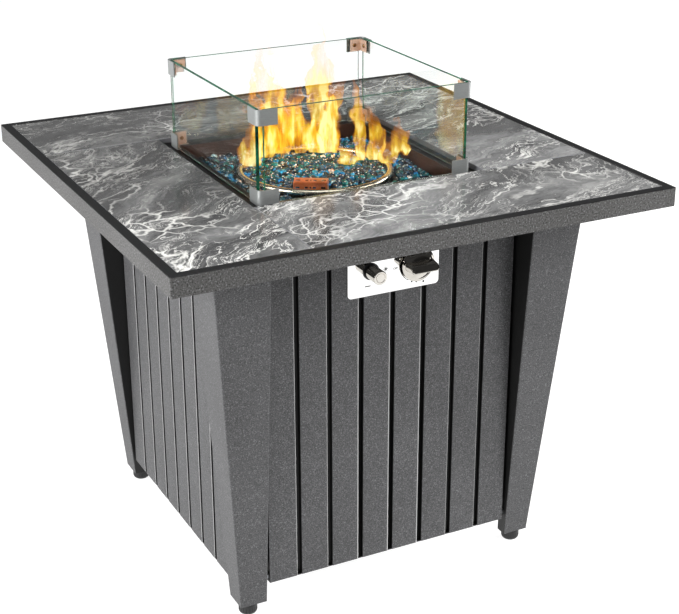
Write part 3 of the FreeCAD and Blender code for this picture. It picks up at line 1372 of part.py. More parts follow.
def valve_body():
    """Cast plug valve: flange, block with a tapered seat, outlet behind, inlet below, safety magnet beside."""
    name = "valve_body"
    body = new_body(name)
    flange = new_sketch(body, "valve_flange", level=-d.valve_flange_depth)
    half = d.valve_flange_width / 2
    rectangle(flange, -half, half, -d.valve_flange_tall / 2, d.valve_flange_tall / 2)
    pad(body, "valve_flange_plate", flange, d.valve_flange_depth)
    block = new_sketch(body, "valve_block", level=-d.valve_depth)
    outline(block, eight_corners(0, 0, d.valve_radius))
    pad(body, "valve_block_pad", block, d.valve_depth - d.valve_flange_depth / 2)
    outlet = new_sketch(body, "valve_outlet", level=-d.outlet_reach)
    hexagon_outline(outlet, 0, 0, d.outlet_radius)
    pad(body, "valve_outlet_boss", outlet, d.outlet_reach - d.valve_depth)
    inlet = new_sketch(body, "valve_inlet", "XZ_Plane", 0)
    circle(inlet, 0, -d.inlet_depth, d.inlet_radius)
    pad(body, "valve_inlet_thread", inlet, d.inlet_reach)
    collar = new_sketch(body, "valve_inlet_collar", "XZ_Plane", 0)
    hexagon_outline(collar, 0, -d.inlet_depth, d.inlet_hex_size)
    pad(body, "valve_inlet_hexagon", collar, d.inlet_reach - d.inlet_thread)
    magnet = new_sketch(body, "valve_magnet", "YZ_Plane", 0)
    outline(magnet, eight_corners(0, -d.inlet_depth, d.magnet_radius))
    pad(body, "valve_magnet_housing", magnet, d.magnet_reach)
    gap = d.plug_gap
    turned(body, "valve_seat", [(0, -d.plug_back), (d.plug_back_radius + gap, -d.plug_back),
                                (d.plug_front_radius + gap, -d.plug_front), (0, -d.plug_front)], "Groove")
    stem = new_sketch(body, "valve_stem_hole", level=-d.plug_front)
    circle(stem, 0, 0, d.stem_radius + d.stem_gap)
    pocket(body, "valve_stem_hole_cut", stem, d.plug_front)
    socket = new_sketch(body, "valve_socket", level=-d.outlet_reach)
    circle(socket, 0, 0, d.pipe_radius + d.slip_gap)
    pocket(body, "valve_socket_cut", socket, d.pipe_socket)
    way = new_sketch(body, "valve_way_in", "XZ_Plane", d.plug_back_radius)
    circle(way, 0, -d.inlet_depth, d.inlet_bore)
    pocket(body, "valve_way_in_cut", way, d.inlet_reach - d.plug_back_radius)
    face_forward(body, d.control_spread)
    keep(body)


def valve_plug():
    """Tapered plug that the stem turns and slides in."""
    name = "valve_plug"
    body = new_body(name)
    back = -d.plug_back + d.running_gap
    front = -d.plug_front - d.running_gap
    turned(body, "plug_turning", [(0, back), (d.plug_back_radius, back), (d.plug_front_radius, front),
                                  (0, front)])
    key = new_sketch(body, "plug_key", level=-d.stem_inner - d.stem_room)
    flatted_circle(key, d.stem_radius + d.stem_slip, d.stem_radius - d.stem_flat + d.stem_slip)
    pocket(body, "plug_key_cut", key, d.stem_inner + d.stem_room + front)
    face_forward(body, d.control_spread)
    keep(body)


def flatted_circle(sketch, radius, flat):
    """A round with one flat on its upper side."""
    r = number(radius)
    f = number(flat)
    x = (r * r - f * f) ** 0.5
    left = Vector(-x, f, 0)
    right = Vector(x, f, 0)
    arc = sketch.addGeometry(Part.Arc(left, Vector(0, -r, 0), right), False)
    line = sketch.addGeometry(Part.LineSegment(right, left), False)
    sketch.addConstraint(Sketcher.Constraint("Coincident", arc, 3, -1, 1))
    tie = sketch.addConstraint(Sketcher.Constraint("Radius", arc, r))
    bind(sketch, f"Constraints[{tie}]", radius)
    start_is_left = sketch.Geometry[arc].StartPoint.x < 0
    sketch.addConstraint(Sketcher.Constraint("Coincident", line, 2, arc, 1 if start_is_left else 2))
    sketch.addConstraint(Sketcher.Constraint("Coincident", line, 1, arc, 2 if start_is_left else 1))
    sketch.addConstraint(Sketcher.Constraint("Horizontal", line))
    tie = sketch.addConstraint(Sketcher.Constraint("DistanceY", -1, 1, line, 1, f))
    bind(sketch, f"Constraints[{tie}]", flat)


def valve_stem():
    """Flatted stem that slides in the plug and carries the knob."""
    name = "valve_stem"
    body = new_body(name)
    section = new_sketch(body, "stem_section", level=-d.stem_inner)
    flatted_circle(section, d.stem_radius, d.stem_radius - d.stem_flat)
    pad(body, "stem_rod", section, d.stem_inner + d.stem_outer)
    face_forward(body, d.control_spread)
    keep(body)


def valve_screws():
    """Heads of the two screws that hold the valve behind the plate, under the knob's skirt."""
    head = prism("valve_screw_pattern", 8, d.valve_screw_head, d.valve_screw_head_height)
    base = Vector(number(d.control_spread), -number(PANEL_FACE + d.plate_sheet), number(CONTROL_LEVEL))
    away = Vector(number(d.valve_screw_place), 0, 0)
    keep(copies("valve_screws", head, [Placement(base + away * sign, FORWARD) for sign in (-1, 1)]))


def control_knob():
    """Skirted knob with a drafted grip bar across it and a flatted bore for the stem."""
    name = "control_knob"
    body = new_body(name)
    skirt = KNOB_BACK + d.knob_skirt
    many_sided(body, "knob_skirt", d.knob_sides, [(d.knob_radius, KNOB_BACK), (d.knob_radius, skirt),
                                                  (d.knob_dome_radius, skirt + d.knob_dome)])
    room = new_sketch(body, "knob_room", level=KNOB_BACK)
    regular(room, d.knob_sides, d.knob_radius - d.knob_wall)
    circle(room, 0, 0, d.stem_radius + d.knob_wall)
    pocket(body, "knob_room_cut", room, d.knob_skirt - d.knob_wall)
    grip = new_sketch(body, "knob_grip", level=skirt)
    length = d.knob_bar_length / 2
    width = d.knob_bar_width / 2
    bevel = width / 2
    outline(grip, [(-length + bevel, -width), (length - bevel, -width), (length, -width + bevel),
                   (length, width - bevel), (length - bevel, width), (-length + bevel, width),
                   (-length, width - bevel), (-length, -width + bevel)])
    bar = pad(body, "knob_grip_bar", grip, d.knob_front - skirt)
    bind(bar, "TaperAngle", -d.knob_bar_draft)
    rounded(body, "knob_grip_edges", d.knob_edge, lambda edge: at_height(edge, d.knob_front), "Chamfer")
    bore = new_sketch(body, "knob_bore", level=KNOB_BACK)
    flatted_circle(bore, d.stem_radius + d.stem_slip, d.stem_radius - d.stem_flat + d.stem_slip)
    pocket(body, "knob_bore_cut", bore, d.stem_outer + d.slip_gap - KNOB_BACK)
    face_forward(body, d.control_spread)
    keep(body)


def igniter():
    """Battery igniter: barrel with bezel and neck, nut behind the plate, and the push button over the neck."""
    body = new_body("igniter_body")
    bezel = PLATE_FRONT + d.igniter_bezel_depth
    neck = d.igniter_neck_front
    turned(body, "igniter_turning", [(0, -d.igniter_depth), (d.igniter_radius, -d.igniter_depth),
                                     (d.igniter_radius, PLATE_FRONT), (d.igniter_bezel, PLATE_FRONT),
                                     (d.igniter_bezel, bezel), (d.igniter_neck, bezel), (d.igniter_neck, neck),
                                     (0, neck)])
    blades = new_sketch(body, "igniter_blades", level=-d.igniter_depth)
    for sign in (-1, 1):
        x = d.igniter_radius / 2 * sign
        rectangle(blades, x - d.terminal_sheet / 2, x + d.terminal_sheet / 2, -d.terminal_width / 2,
                  d.terminal_width / 2)
    pad(body, "igniter_terminals", blades, d.terminal_length, backwards=True)
    face_forward(body, -d.control_spread)
    keep(body)

    blank = prism("igniter_nut_blank", 6, d.igniter_nut_size, d.igniter_nut_height)
    bore = cylinder("igniter_nut_bore", d.igniter_radius + d.igniter_gap, d.igniter_nut_height)
    nut = cut("igniter_nut", blank, bore)
    place(nut, -d.control_spread, -PANEL_FACE + d.igniter_nut_height, CONTROL_LEVEL, FORWARD)
    keep(nut)

    body = new_body("igniter_button")
    back = bezel + d.button_travel + d.running_gap
    front = d.button_front
    inner = d.button_radius - d.button_wall
    turned(body, "button_turning", [(inner, back), (d.button_radius, back), (d.button_radius, front - 1),
                                    (d.button_radius - 1, front), (0, front), (0, front - 3 * d.button_wall),
                                    (inner, front - 3 * d.button_wall)])
    face_forward(body, -d.control_spread)
    keep(body)


def check(item):
    shape = item.Shape
    if shape.isNull() or not shape.isValid() or not shape.Solids:
        raise RuntimeError(f"{item.Label} has no valid solid")
    for solid in shape.Solids:
        if solid.Volume <= 0:
            raise RuntimeError(f"{item.Label} is inside out")


def build():
    top_frame()
    tiles()
    top_support()
    panels()
    legs()
    feet()
    base_shelf()
    fasteners()
    back_frame()
    door_panel()
    door_pivots()
    door_pull()
    door_catch()
    burner_pan()
    heat_shield()
    burner_bowl()
    burner_ring()
    burner_feed()
    gas_pipe()
    igniter_cover()
    pilot()
    fire_glass()
    guard_glass()
    guard_clips()
    control_plate()
    valve_body()
    valve_plug()
    valve_stem()
    valve_screws()
    control_knob()
    igniter()
    doc.recompute()
    failed = [item.Name for item in doc.Objects if "Invalid" in item.State or "Error" in item.State]
    if failed:
        raise RuntimeError(f"failed objects: {failed}")
    for item in nodes:
        check(item)
    os.makedirs("parts", exist_ok=True)
    for item in nodes:
        item.Shape.exportStep(f"parts/{item.Label}.step")
    print(f"{len(nodes)} pieces")


build()
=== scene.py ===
"""Dresses the gas fire pit table: finishes for its steel, tiles and glass, and the pieces that need finer shapes.

Metres. +Z is up, the front with the controls faces -Y, the origin is on the floor under the centre.
"""

import math
import random

import bmesh
import bpy
from mathutils import Matrix, Vector


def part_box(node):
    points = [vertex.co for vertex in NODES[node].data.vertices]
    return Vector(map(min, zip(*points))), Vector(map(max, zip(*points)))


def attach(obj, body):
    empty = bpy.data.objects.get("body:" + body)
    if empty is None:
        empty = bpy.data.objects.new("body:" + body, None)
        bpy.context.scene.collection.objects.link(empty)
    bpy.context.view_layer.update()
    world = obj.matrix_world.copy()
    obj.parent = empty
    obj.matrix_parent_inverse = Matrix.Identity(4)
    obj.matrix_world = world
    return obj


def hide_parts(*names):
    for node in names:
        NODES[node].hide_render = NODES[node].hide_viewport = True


bl_info = {
    "name": "Gas fire pit table",
    "version": (1, 0, 0),
    "blender": (4, 5, 0),
    "location": "3D View > Sidebar > Fire pit",
    "description": "Finishes and fine pieces of a square gas fire pit table with a tiled top",
    "category": "Object",
}

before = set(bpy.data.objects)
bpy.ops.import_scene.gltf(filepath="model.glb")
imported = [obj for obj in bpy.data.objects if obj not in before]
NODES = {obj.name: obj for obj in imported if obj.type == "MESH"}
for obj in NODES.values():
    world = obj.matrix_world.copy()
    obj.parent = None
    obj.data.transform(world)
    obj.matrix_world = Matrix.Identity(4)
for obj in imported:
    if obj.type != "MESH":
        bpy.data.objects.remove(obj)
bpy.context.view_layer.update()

MM = 0.001
SIDES = ("front", "right", "back", "left")
CORNERS = ("front_left", "front_right", "back_right", "back_left")
# Turns what is drawn upright round its foot, so that it faces the front
FORWARD = (math.pi / 2, 0, 0)

# Places that several pieces share, read from the model
PANEL_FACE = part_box("front_panel")[0].y
PAN_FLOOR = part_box("burner_bowl")[0].z
BOWL_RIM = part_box("burner_bowl")[1].z
BOWL_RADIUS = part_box("burner_bowl")[1].x
KNOB_LOW, KNOB_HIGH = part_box("control_knob")
BUTTON_LOW, BUTTON_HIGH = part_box("igniter_button")
PLATE_LOW, PLATE_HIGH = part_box("control_plate")
KNOB_PLACE = ((KNOB_LOW.x + KNOB_HIGH.x) / 2, (KNOB_LOW.z + KNOB_HIGH.z) / 2)
BUTTON_PLACE = ((BUTTON_LOW.x + BUTTON_HIGH.x) / 2, (BUTTON_LOW.z + BUTTON_HIGH.z) / 2)
COVER_LOW, COVER_HIGH = (corner.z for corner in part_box("igniter_cover"))

# Folded gaps of the panels: spacing, half width, how far their folds reach, how far each side springs open
GAP_PITCH = 50.6 * MM
GAP_HALF = 2.5 * MM
GAP_REACH = 4 * MM
GAP_OPENING = 1.3 * MM
SLAT_ROLL = 1.8 * MM
# Where along Y the tone of the tiles starts and ends to change
TONE_FRONT, TONE_BACK = -0.26, -0.02
SCREW_RADIUS = 3.2 * MM
SCREW_SPREAD = 150 * MM
BOWL_ROLL = 5 * MM
# The beads: half the width of the pan's floor, how the layers are laid and how many there are
PAN_HALF = 146 * MM
BEAD_SEED = 41
BEAD_PATTERNS = 5
BEAD_LAYERS = 3
# The igniter cover: its turn round the bowl, how far out its front stands, its width and depth
COVER_TURN = math.radians(31)
COVER_REACH = 0.101
COVER_SIZE = (0.050, 0.023)
FLAME_FOOT = BOWL_RIM - 2 * MM
FLOOR_SIZE = 14
FLOOR_FRONT = -1.9
# Stretch of the grain for lines that are drawn across Z
LEVEL_LINES = (1.0, 1.0, 9.0)


def linear(code):
    """The linear colour that a shader takes, from an sRGB hex value."""
    parts = [int(code[i : i + 2], 16) / 255 for i in (1, 3, 5)]
    return tuple(c / 12.92 if c <= 0.04045 else ((c + 0.055) / 1.055) ** 2.4 for c in parts)


def opaque(colour):
    return (colour[0], colour[1], colour[2], 1.0)


def grey(value):
    return (value, value, value, 1.0)


# Settings


def colour_setting(name, description, code):
    return bpy.props.FloatVectorProperty(name=name, description=description, subtype="COLOR", default=linear(code))


def length_setting(name, description, default):
    return bpy.props.FloatProperty(name=name, description=description, default=default, unit="LENGTH",
                                   subtype="DISTANCE")


class FirePitColours(bpy.types.PropertyGroup):
    """Colours that an owner of the table would choose."""

    coat: colour_setting("Powder coat", "Hammered coat of the body and apron", "#434344")
    coat_fleck: colour_setting("Coat fleck", "Light flecks in the hammered coat", "#68686a")
    rim: colour_setting("Rim", "Satin coat on the flat rim round the tiles", "#141415")
    marble_dark: colour_setting("Marble ground", "Darkest grey of the tiles", "#343435")
    marble_light: colour_setting("Marble cloud", "Light grey clouds of the tiles", "#9a9a98")
    marble_vein: colour_setting("Marble vein", "White veins of the tiles", "#f2f1ec")
    bead_deep: colour_setting("Fire glass, deep", "Darkest beads", "#022c46")
    bead_bright: colour_setting("Fire glass, bright", "Brightest beads", "#0a7cc6")


class FirePitSizes(bpy.types.PropertyGroup):
    """Sizes of the loose and decorative parts."""

    bead_size: length_setting("Bead", "Width of a glass bead", 10.5 * MM)
    bead_spacing: length_setting("Bead spacing", "Between beads in one layer", 9.2 * MM)
    glass_fill: length_setting("Glass under rim", "Beads under the bowl's rim", 8 * MM)
    hammer_cell: length_setting("Hammered cell", "Dimple of the powder coat", 1.7 * MM)


# Modelling helpers


def mm(*values):
    """Millimetres as metres."""
    return tuple(value * MM for value in values)


def only(*pieces):
    """Selects these objects and nothing else. The last one becomes the active one."""
    if bpy.context.object and bpy.context.object.mode != "OBJECT":
        bpy.ops.object.mode_set(mode="OBJECT")
    bpy.ops.object.select_all(action="DESELECT")
    for piece in pieces:
        piece.select_set(True)
    bpy.context.view_layer.objects.active = pieces[-1]


def edit(piece):
    only(piece)
    bpy.ops.object.mode_set(mode="EDIT")


def done():
    bpy.ops.object.mode_set(mode="OBJECT")
    return bpy.context.object


def choose(kind, test):
    """In edit mode, selects the vertices, edges or faces that pass the test."""
    bpy.ops.mesh.select_mode(type=kind)
    bpy.ops.mesh.select_all(action="DESELECT")
    mesh = bmesh.from_edit_mesh(bpy.context.object.data)
    items = {"VERT": mesh.verts, "EDGE": mesh.edges, "FACE": mesh.faces}[kind]
    chosen = [item for item in items if test(item)]
    if not chosen:
        raise RuntimeError(f"nothing was chosen on {bpy.context.object.name}")
    for item in chosen:
        item.select_set(True)
    mesh.select_flush_mode()
    bmesh.update_edit_mesh(bpy.context.object.data)


def middle(item):
    """Middle of an edge or face."""
    corners = [vert.co for vert in item.verts]
    return sum(corners, Vector()) / len(corners)


def runs_along(edge, axis):
    """Whether an edge runs more along this axis than across it."""
    return abs((edge.verts[0].co - edge.verts[1].co).normalized()[axis]) > 0.5


def block(size, centre=(0, 0, 0)):
    """A box primitive of this size at this place, ready to be shaped."""
    bpy.ops.object.select_all(action="DESELECT")
    bpy.ops.mesh.primitive_cube_add(size=1, location=centre)
    piece = bpy.context.object
    piece.scale = size
    bpy.ops.object.transform_apply(location=True, rotation=False, scale=True)
    return piece


def turned(profile, steps=48):
    """Draws an outline as radius and height by extruding one point, and spins it about the upright axis."""
    bpy.ops.object.select_all(action="DESELECT")
    bpy.ops.mesh.primitive_plane_add(size=MM)
    bpy.ops.object.mode_set(mode="EDIT")
    bpy.ops.mesh.select_mode(type="VERT")
    bpy.ops.mesh.select_all(action="SELECT")
    bpy.ops.mesh.merge(type="CENTER")
    bpy.ops.transform.translate(value=(profile[0][0], 0, profile[0][1]))
    for (radius, level), (next_radius, next_level) in zip(profile, profile[1:]):
        step = (next_radius - radius, 0, next_level - level)
        bpy.ops.mesh.extrude_region_move(TRANSFORM_OT_translate={"value": step})
    bpy.ops.mesh.select_all(action="SELECT")
    bpy.ops.mesh.spin(steps=steps, angle=2 * math.pi, center=(0, 0, 0), axis=(0, 0, 1))
    bpy.ops.mesh.select_all(action="SELECT")
    bpy.ops.mesh.remove_doubles(threshold=0.01 * MM)
    bpy.ops.mesh.normals_make_consistent(inside=False)
    return done()


def arc(centre, radius, start, end, steps):
    """Points on an arc, as radius and height, for a turned outline. Angles in degrees from the outside upwards."""
    angles = [math.radians(start + (end - start) * i / steps) for i in range(steps + 1)]
    return [(centre[0] + radius * math.cos(a), centre[1] + radius * math.sin(a)) for a in angles]


def modified(piece, kind, **settings):
    """Adds a modifier, sets it and applies it."""
    only(piece)
    modifier = piece.modifiers.new(kind.lower(), kind)
    for key, value in settings.items():
        setattr(modifier, key, value)
    bpy.ops.object.modifier_apply(modifier=modifier.name)


def rounded(piece, width, segments=2, angle=30):
    """Rounds the edges that are sharper than the angle, in degrees."""
    modified(piece, "BEVEL", width=width, segments=segments, limit_method="ANGLE", angle_limit=math.radians(angle))


def cut(piece, tool):
    """Takes the tool's shape out of the piece, and the tool away."""
    modified(piece, "BOOLEAN", operation="DIFFERENCE", object=tool, solver="EXACT")
    bpy.data.objects.remove(tool)


def moved(piece, place=(0, 0, 0), turn=(0, 0, 0)):
    """Turns and places a piece, and keeps its place in its mesh."""
    only(piece)
    piece.rotation_euler = turn
    piece.location = place
    bpy.ops.object.transform_apply(location=True, rotation=True, scale=True)
    return piece


def joined(*pieces):
    """Joins pieces to one, with their places kept in its mesh."""
    only(*pieces)
    bpy.ops.object.transform_apply(location=True, rotation=True, scale=True)
    bpy.ops.object.join()
    return bpy.context.object


def copied(piece):
    """A copy with its own mesh."""
    twin = piece.copy()
    twin.data = piece.data.copy()
    bpy.context.scene.collection.objects.link(twin)
    return twin


def merged(node):
    """A copy of a CAD node with its loose triangles joined to whole faces."""
    piece = bpy.data.objects.new(f"{node}_merged", NODES[node].data.copy())
    bpy.context.scene.collection.objects.link(piece)
    edit(piece)
    bpy.ops.mesh.select_all(action="SELECT")
    bpy.ops.mesh.remove_doubles(threshold=0.005 * MM)
    bpy.ops.mesh.dissolve_limited(angle_limit=math.radians(0.5))
    bpy.ops.mesh.select_all(action="SELECT")
    bpy.ops.mesh.normals_make_consistent(inside=False)
    return done()


def finished(piece, name, material, body, stands_for=(), angle=35):
    """Names a piece, gives it its finish, and lets it ride on its body in place of the nodes it stands for."""
    only(piece)
    piece.name = name
    piece.data.name = name
    bpy.ops.object.shade_smooth_by_angle(angle=math.radians(angle))
    piece.data.materials.clear()
    piece.data.materials.append(material)
    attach(piece, body)
    if stands_for:
        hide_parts(*stands_for)


def coat(names, material):
    """Gives CAD nodes their finish."""
    for name in names:
        materials = NODES[name].data.materials
        if len(materials) == 0:
            materials.append(material)
        for i in range(len(materials)):
            materials[i] = material


# Material helpers


def add(tree, kind, sockets=None, stops=None, **settings):
    """Adds a node. Each socket gets a value or the output that is linked to it, and stops fill a colour ramp."""
    node = tree.nodes.new(f"ShaderNode{kind}")
    for key, value in settings.items():
        setattr(node, key, value)
    for key, value in (sockets or {}).items():
        if isinstance(value, bpy.types.NodeSocket):
            tree.links.new(value, node.inputs[key])
        else:
            node.inputs[key].default_value = value
    if stops:
        ramp = node.color_ramp
        while len(ramp.elements) < len(stops):
            ramp.elements.new(0.5)
        for element, (position, colour) in zip(ramp.elements, stops):
            element.position = position
            element.color = colour if len(colour) == 4 else opaque(colour)
    return node


def new_finish(name, **shader_values):
    """A material with one shader and the object's own coordinates. Returns it, its nodes, shader and coordinates."""
    material = bpy.data.materials.new(name)
    material.use_nodes = True
    tree = material.node_tree
    tree.nodes.clear()
    shader = add(tree, "BsdfPrincipled", {key.replace("_", " "): value for key, value in shader_values.items()})
    add(tree, "OutputMaterial", {"Surface": shader.outputs[0]})
    place = add(tree, "TexCoord").outputs["Object"]
    return material, tree, shader, place


def noise(tree, place, scale, detail=2.0, **sockets):
    """How strong a cloud pattern is at each place."""
    return add(tree, "TexNoise", {"Vector": place, "Scale": scale, "Detail": detail, **sockets}).outputs["Fac"]


def ramp_of(tree, factor, *stops):
    """The colour on a ramp."""
    return add(tree, "ValToRGB", {"Fac": factor}, stops=stops).outputs[0]


def remap(tree, value, source, target=(0.0, 1.0), **settings):
    """Takes a value from one range to another, and holds it there."""
    sockets = {"Value": value, "From Min": source[0], "From Max": source[1], "To Min": target[0], "To Max": target[1]}
    return add(tree, "MapRange", sockets, **settings).outputs[0]


def reckon(tree, operation, first, second=0.0):
    return add(tree, "Math", {0: first, 1: second}, operation=operation).outputs[0]


def mix(tree, factor, under, over, blend="MIX"):
    return add(tree, "MixRGB", {"Fac": factor, "Color1": under, "Color2": over}, blend_type=blend).outputs[0]


def vectors(tree, operation, first, second):
    return add(tree, "VectorMath", {0: first, 1: second}, operation=operation).outputs[0]


def stretched(tree, place, scale):
    return add(tree, "Mapping", {"Vector": place, "Scale": scale}).outputs[0]


def attribute(tree, name):
    return add(tree, "Attribute", attribute_name=name).outputs["Fac"]


def facing(tree, axis="Z"):
    """How far a face looks along an axis, from -1 to 1."""
    return add(tree, "SeparateXYZ", {0: add(tree, "NewGeometry").outputs["Normal"]}).outputs[axis]


def feed(tree, shader, **outputs):
    """Links outputs to the shader's sockets."""
    for key, output in outputs.items():
        tree.links.new(output, shader.inputs[key.replace("_", " ")])


def relief(tree, height, strength, distance):
    return add(tree, "Bump", {"Height": height, "Strength": strength, "Distance": distance}).outputs[0]


# Materials


def hammered_coat(name, ground, fleck, cell, gap=None, return_edge=None, pit=0.45, shaded=None, rolled=None):
    """Powder coat on steel sheet, hammered: fine dimples, small light flecks and dark pits, dull sheen.

    It is painted black nearer to the centre than gap, in the folded gaps, nearer than return_edge to either centre
    line, on the returns of the legs, and where the attribute named by shaded is set: painted shade where these lie in
    shadow. Where the one named by rolled is set, a lighter grey is painted on the rolled edge as a highlight line.
    """
    material, tree, shader, place = new_finish(name, Metallic=0.0, Roughness=0.52, Specular_IOR_Level=0.4)
    dimples = add(tree, "TexVoronoi", {"Vector": place, "Scale": 1 / cell, "Randomness": 1.0}, feature="SMOOTH_F1")
    # Drawn about twice as coarse as the real grain, which would be lost between the picture's points
    grain = noise(tree, place, 1 / cell, 1.5, Roughness=0.6)
    tones = ramp_of(tree, grain, (0.34, [pit * c for c in ground]), (0.44, ground), (0.56, ground), (0.68, fleck))
    drift = ramp_of(tree, noise(tree, place, 7.0, 3.0), (0.3, grey(0.88)), (0.7, grey(1.08)))
    colour = mix(tree, 1.0, tones, drift, "MULTIPLY")
    # Painted shade: near black in the gaps, on the leg returns and where the shaded attribute is set
    painted_shade_masks = []
    for limit, operation in ((gap, "MAXIMUM"), (return_edge, "MINIMUM")):
        if limit:
            corner = add(tree, "SeparateXYZ", {0: place}).outputs
            reach = reckon(tree, operation, *[reckon(tree, "ABSOLUTE", corner[i]) for i in (0, 1)])
            painted_shade_masks.append(reckon(tree, "LESS_THAN", reach, limit))
    # Painted highlight: a lighter grey on the rolled slat edges
    if rolled:
        colour = mix(tree, attribute(tree, rolled), colour, opaque(linear("#9c9c9c")))
    if shaded:
        painted_shade_masks.append(attribute(tree, shaded))
    for mask in painted_shade_masks:
        colour = mix(tree, mask, colour, opaque(linear("#0b0b0b")))
    height = reckon(tree, "ADD", dimples.outputs["Distance"], grain)
    feed(tree, shader, Base_Color=colour, Normal=relief(tree, height, 0.3, 0.4 * MM))
    return material


def flat_tops(material, colour):
    """Gives the faces that look up a colour of their own."""
    tree = material.node_tree
    shader = next(node for node in tree.nodes if node.type == "BSDF_PRINCIPLED")
    under = shader.inputs["Base Color"].links[0].from_socket
    on_top = reckon(tree, "GREATER_THAN", facing(tree), 0.6)
    feed(tree, shader, Base_Color=mix(tree, on_top, under, opaque(colour)))
    return material


def rimmed_coat(name, ground, fleck, rim, cell):
    """The coarser hammered coat of the top frame, warmer and lighter than the body's coat; the lightness is painted
    light for the brighter-lit apron. Its flat rim, like every face of it that looks up, is darker.
    """
    # Lighter than the body's coat: painted light for the brighter-lit apron
    warm = tuple(channel * tint for channel, tint in zip(ground, (1.16, 1.14, 1.07)))
    bright = tuple(1.2 * channel for channel in fleck)
    return flat_tops(hammered_coat(name, warm, bright, 1.35 * cell, pit=0.15), rim)


def ledge_coat(name):
    """Coat of the burner pan: black on the ledge, and dark brown on the walls as a painted reflection of the flames'
    warm light.
    """
    return flat_tops(heat_tint_and_painted_glow(name, linear("#1f1815"), linear("#46322a"), 0.5), linear("#0e0e0e"))


def marble(name, colours, turn, shift, tones, veining):
    """Glazed porcelain printed as grey marble: cloudy ground, drawn-out streaks, crisp white veins, glossy.

    Along Y the lightness of the tile and the strength of its veins change: tones and veining give them at the front
    and at the back.
    """
    material, tree, shader, place = new_finish(name, Metallic=0.0, Roughness=0.14, IOR=1.5)
    mapped = add(tree, "Mapping", {"Vector": place, "Location": shift, "Rotation": (0, 0, turn)}).outputs[0]
    warp = add(tree, "TexNoise", {"Vector": mapped, "Scale": 5.0, "Detail": 5.0, "Roughness": 0.55}).outputs["Color"]
    centred = vectors(tree, "SUBTRACT", warp, (0.5, 0.5, 0.5))
    swing = add(tree, "VectorMath", {0: centred, "Scale": 0.16}, operation="SCALE").outputs[0]
    warped = vectors(tree, "ADD", mapped, swing)
    drawn = stretched(tree, warped, (1.0, 3.2, 1.0))

    cloud = noise(tree, drawn, 4.2, 9.0, Roughness=0.62, Distortion=0.4)
    colour = ramp_of(tree, cloud, (0.34, colours.marble_dark), (0.48, linear("#535353")), (0.58, linear("#6d6d6d")),
                     (0.72, colours.marble_light))
    fine = noise(tree, drawn, 60.0, 6.0, Roughness=0.7)
    depth = add(tree, "SeparateXYZ", {0: place}).outputs["Y"]
    tone, veined = [remap(tree, depth, (TONE_FRONT, TONE_BACK), ends) for ends in (tones, veining)]
    for factor in (ramp_of(tree, fine, (0.3, grey(0.7)), (0.7, grey(1.25))), tone):
        colour = mix(tree, 1.0, colour, factor, "MULTIPLY")
    # Vein families: pattern scale, half width in noise units, where they show, how strongly, place in the pattern
    for scale, width, gate_scale, gate_low, strength, seed in (
        (2.3, 0.013, 3.0, 0.44, 1.0, 1.3),
        (3.9, 0.010, 4.0, 0.45, 0.95, 7.7),
        (9.0, 0.012, 5.0, 0.46, 0.85, 3.1),
        (21.0, 0.018, 6.0, 0.46, 0.7, 5.9),
    ):
        own = vectors(tree, "ADD", drawn, (seed, seed * 1.7, 0.0))
        line = noise(tree, own, scale, 5.0, Roughness=0.62, Distortion=0.3)
        distance = reckon(tree, "ABSOLUTE", reckon(tree, "SUBTRACT", line, 0.5))
        spread = remap(tree, noise(tree, own, 9.0), (0.35, 0.72), (width * 0.25, width * 2.2))
        vein = remap(tree, distance, (0.0, spread), (1.0, 0.0))
        shows = remap(tree, noise(tree, own, gate_scale, 3.0), (gate_low, gate_low + 0.12), (0.0, strength))
        amount = reckon(tree, "MULTIPLY", vein, reckon(tree, "MULTIPLY", shows, veined))
        colour = mix(tree, amount, colour, opaque(colours.marble_vein))

    # Crackle: short cross veins that link the long ones
    cells = add(tree, "TexVoronoi", {"Vector": warped, "Scale": 26.0, "Randomness": 1.0}, feature="DISTANCE_TO_EDGE")
    crack = remap(tree, cells.outputs["Distance"], (0.0, 0.06), (1.0, 0.0))
    shows = remap(tree, noise(tree, mapped, 5.0, 4.0), (0.54, 0.64), (0.0, 0.75))
    colour = mix(tree, reckon(tree, "MULTIPLY", crack, shows), colour, opaque(colours.marble_vein))
    # Past the glaze, the bevel round the face shows the pale body of the tile
    bare = reckon(tree, "LESS_THAN", facing(tree), 0.98)
    colour = mix(tree, bare, colour, opaque(linear("#77777a")))
    feed(tree, shader, Base_Color=colour, Normal=relief(tree, noise(tree, place, 40.0), 0.05, 0.3 * MM))
    return material


def brushed(name, colour, roughness, stretch, metallic=1.0):
    """Metal with fine drawn lines along one axis: streaky highlights across the lines."""
    material, tree, shader, place = new_finish(name, Metallic=metallic, Roughness=roughness)
    grain = noise(tree, stretched(tree, place, stretch), 220.0, 3.0)
    feed(tree, shader, Base_Color=ramp_of(tree, grain, (0.3, [c * 0.82 for c in colour]), (0.7, colour)),
         Roughness=remap(tree, grain, (0.0, 1.0), (roughness * 0.8, roughness * 1.3)),
         Normal=relief(tree, grain, 0.12, 0.05 * MM))
    return material


def mottled(name, light, dark, scale, roughness, metallic, strength=0.2):
    """Cast, moulded or plated stock: two close tones in soft patches, with a faint grain."""
    material, tree, shader, place = new_finish(name, Metallic=metallic, Roughness=roughness)
    patches = noise(tree, place, scale, 4.0, Roughness=0.6)
    feed(tree, shader, Base_Color=ramp_of(tree, patches, (0.35, dark), (0.65, light)),
         Roughness=remap(tree, patches, (0.0, 1.0), (roughness * 0.75, roughness * 1.25)),
         Normal=relief(tree, noise(tree, place, scale * 12), strength, 0.05 * MM))
    return material


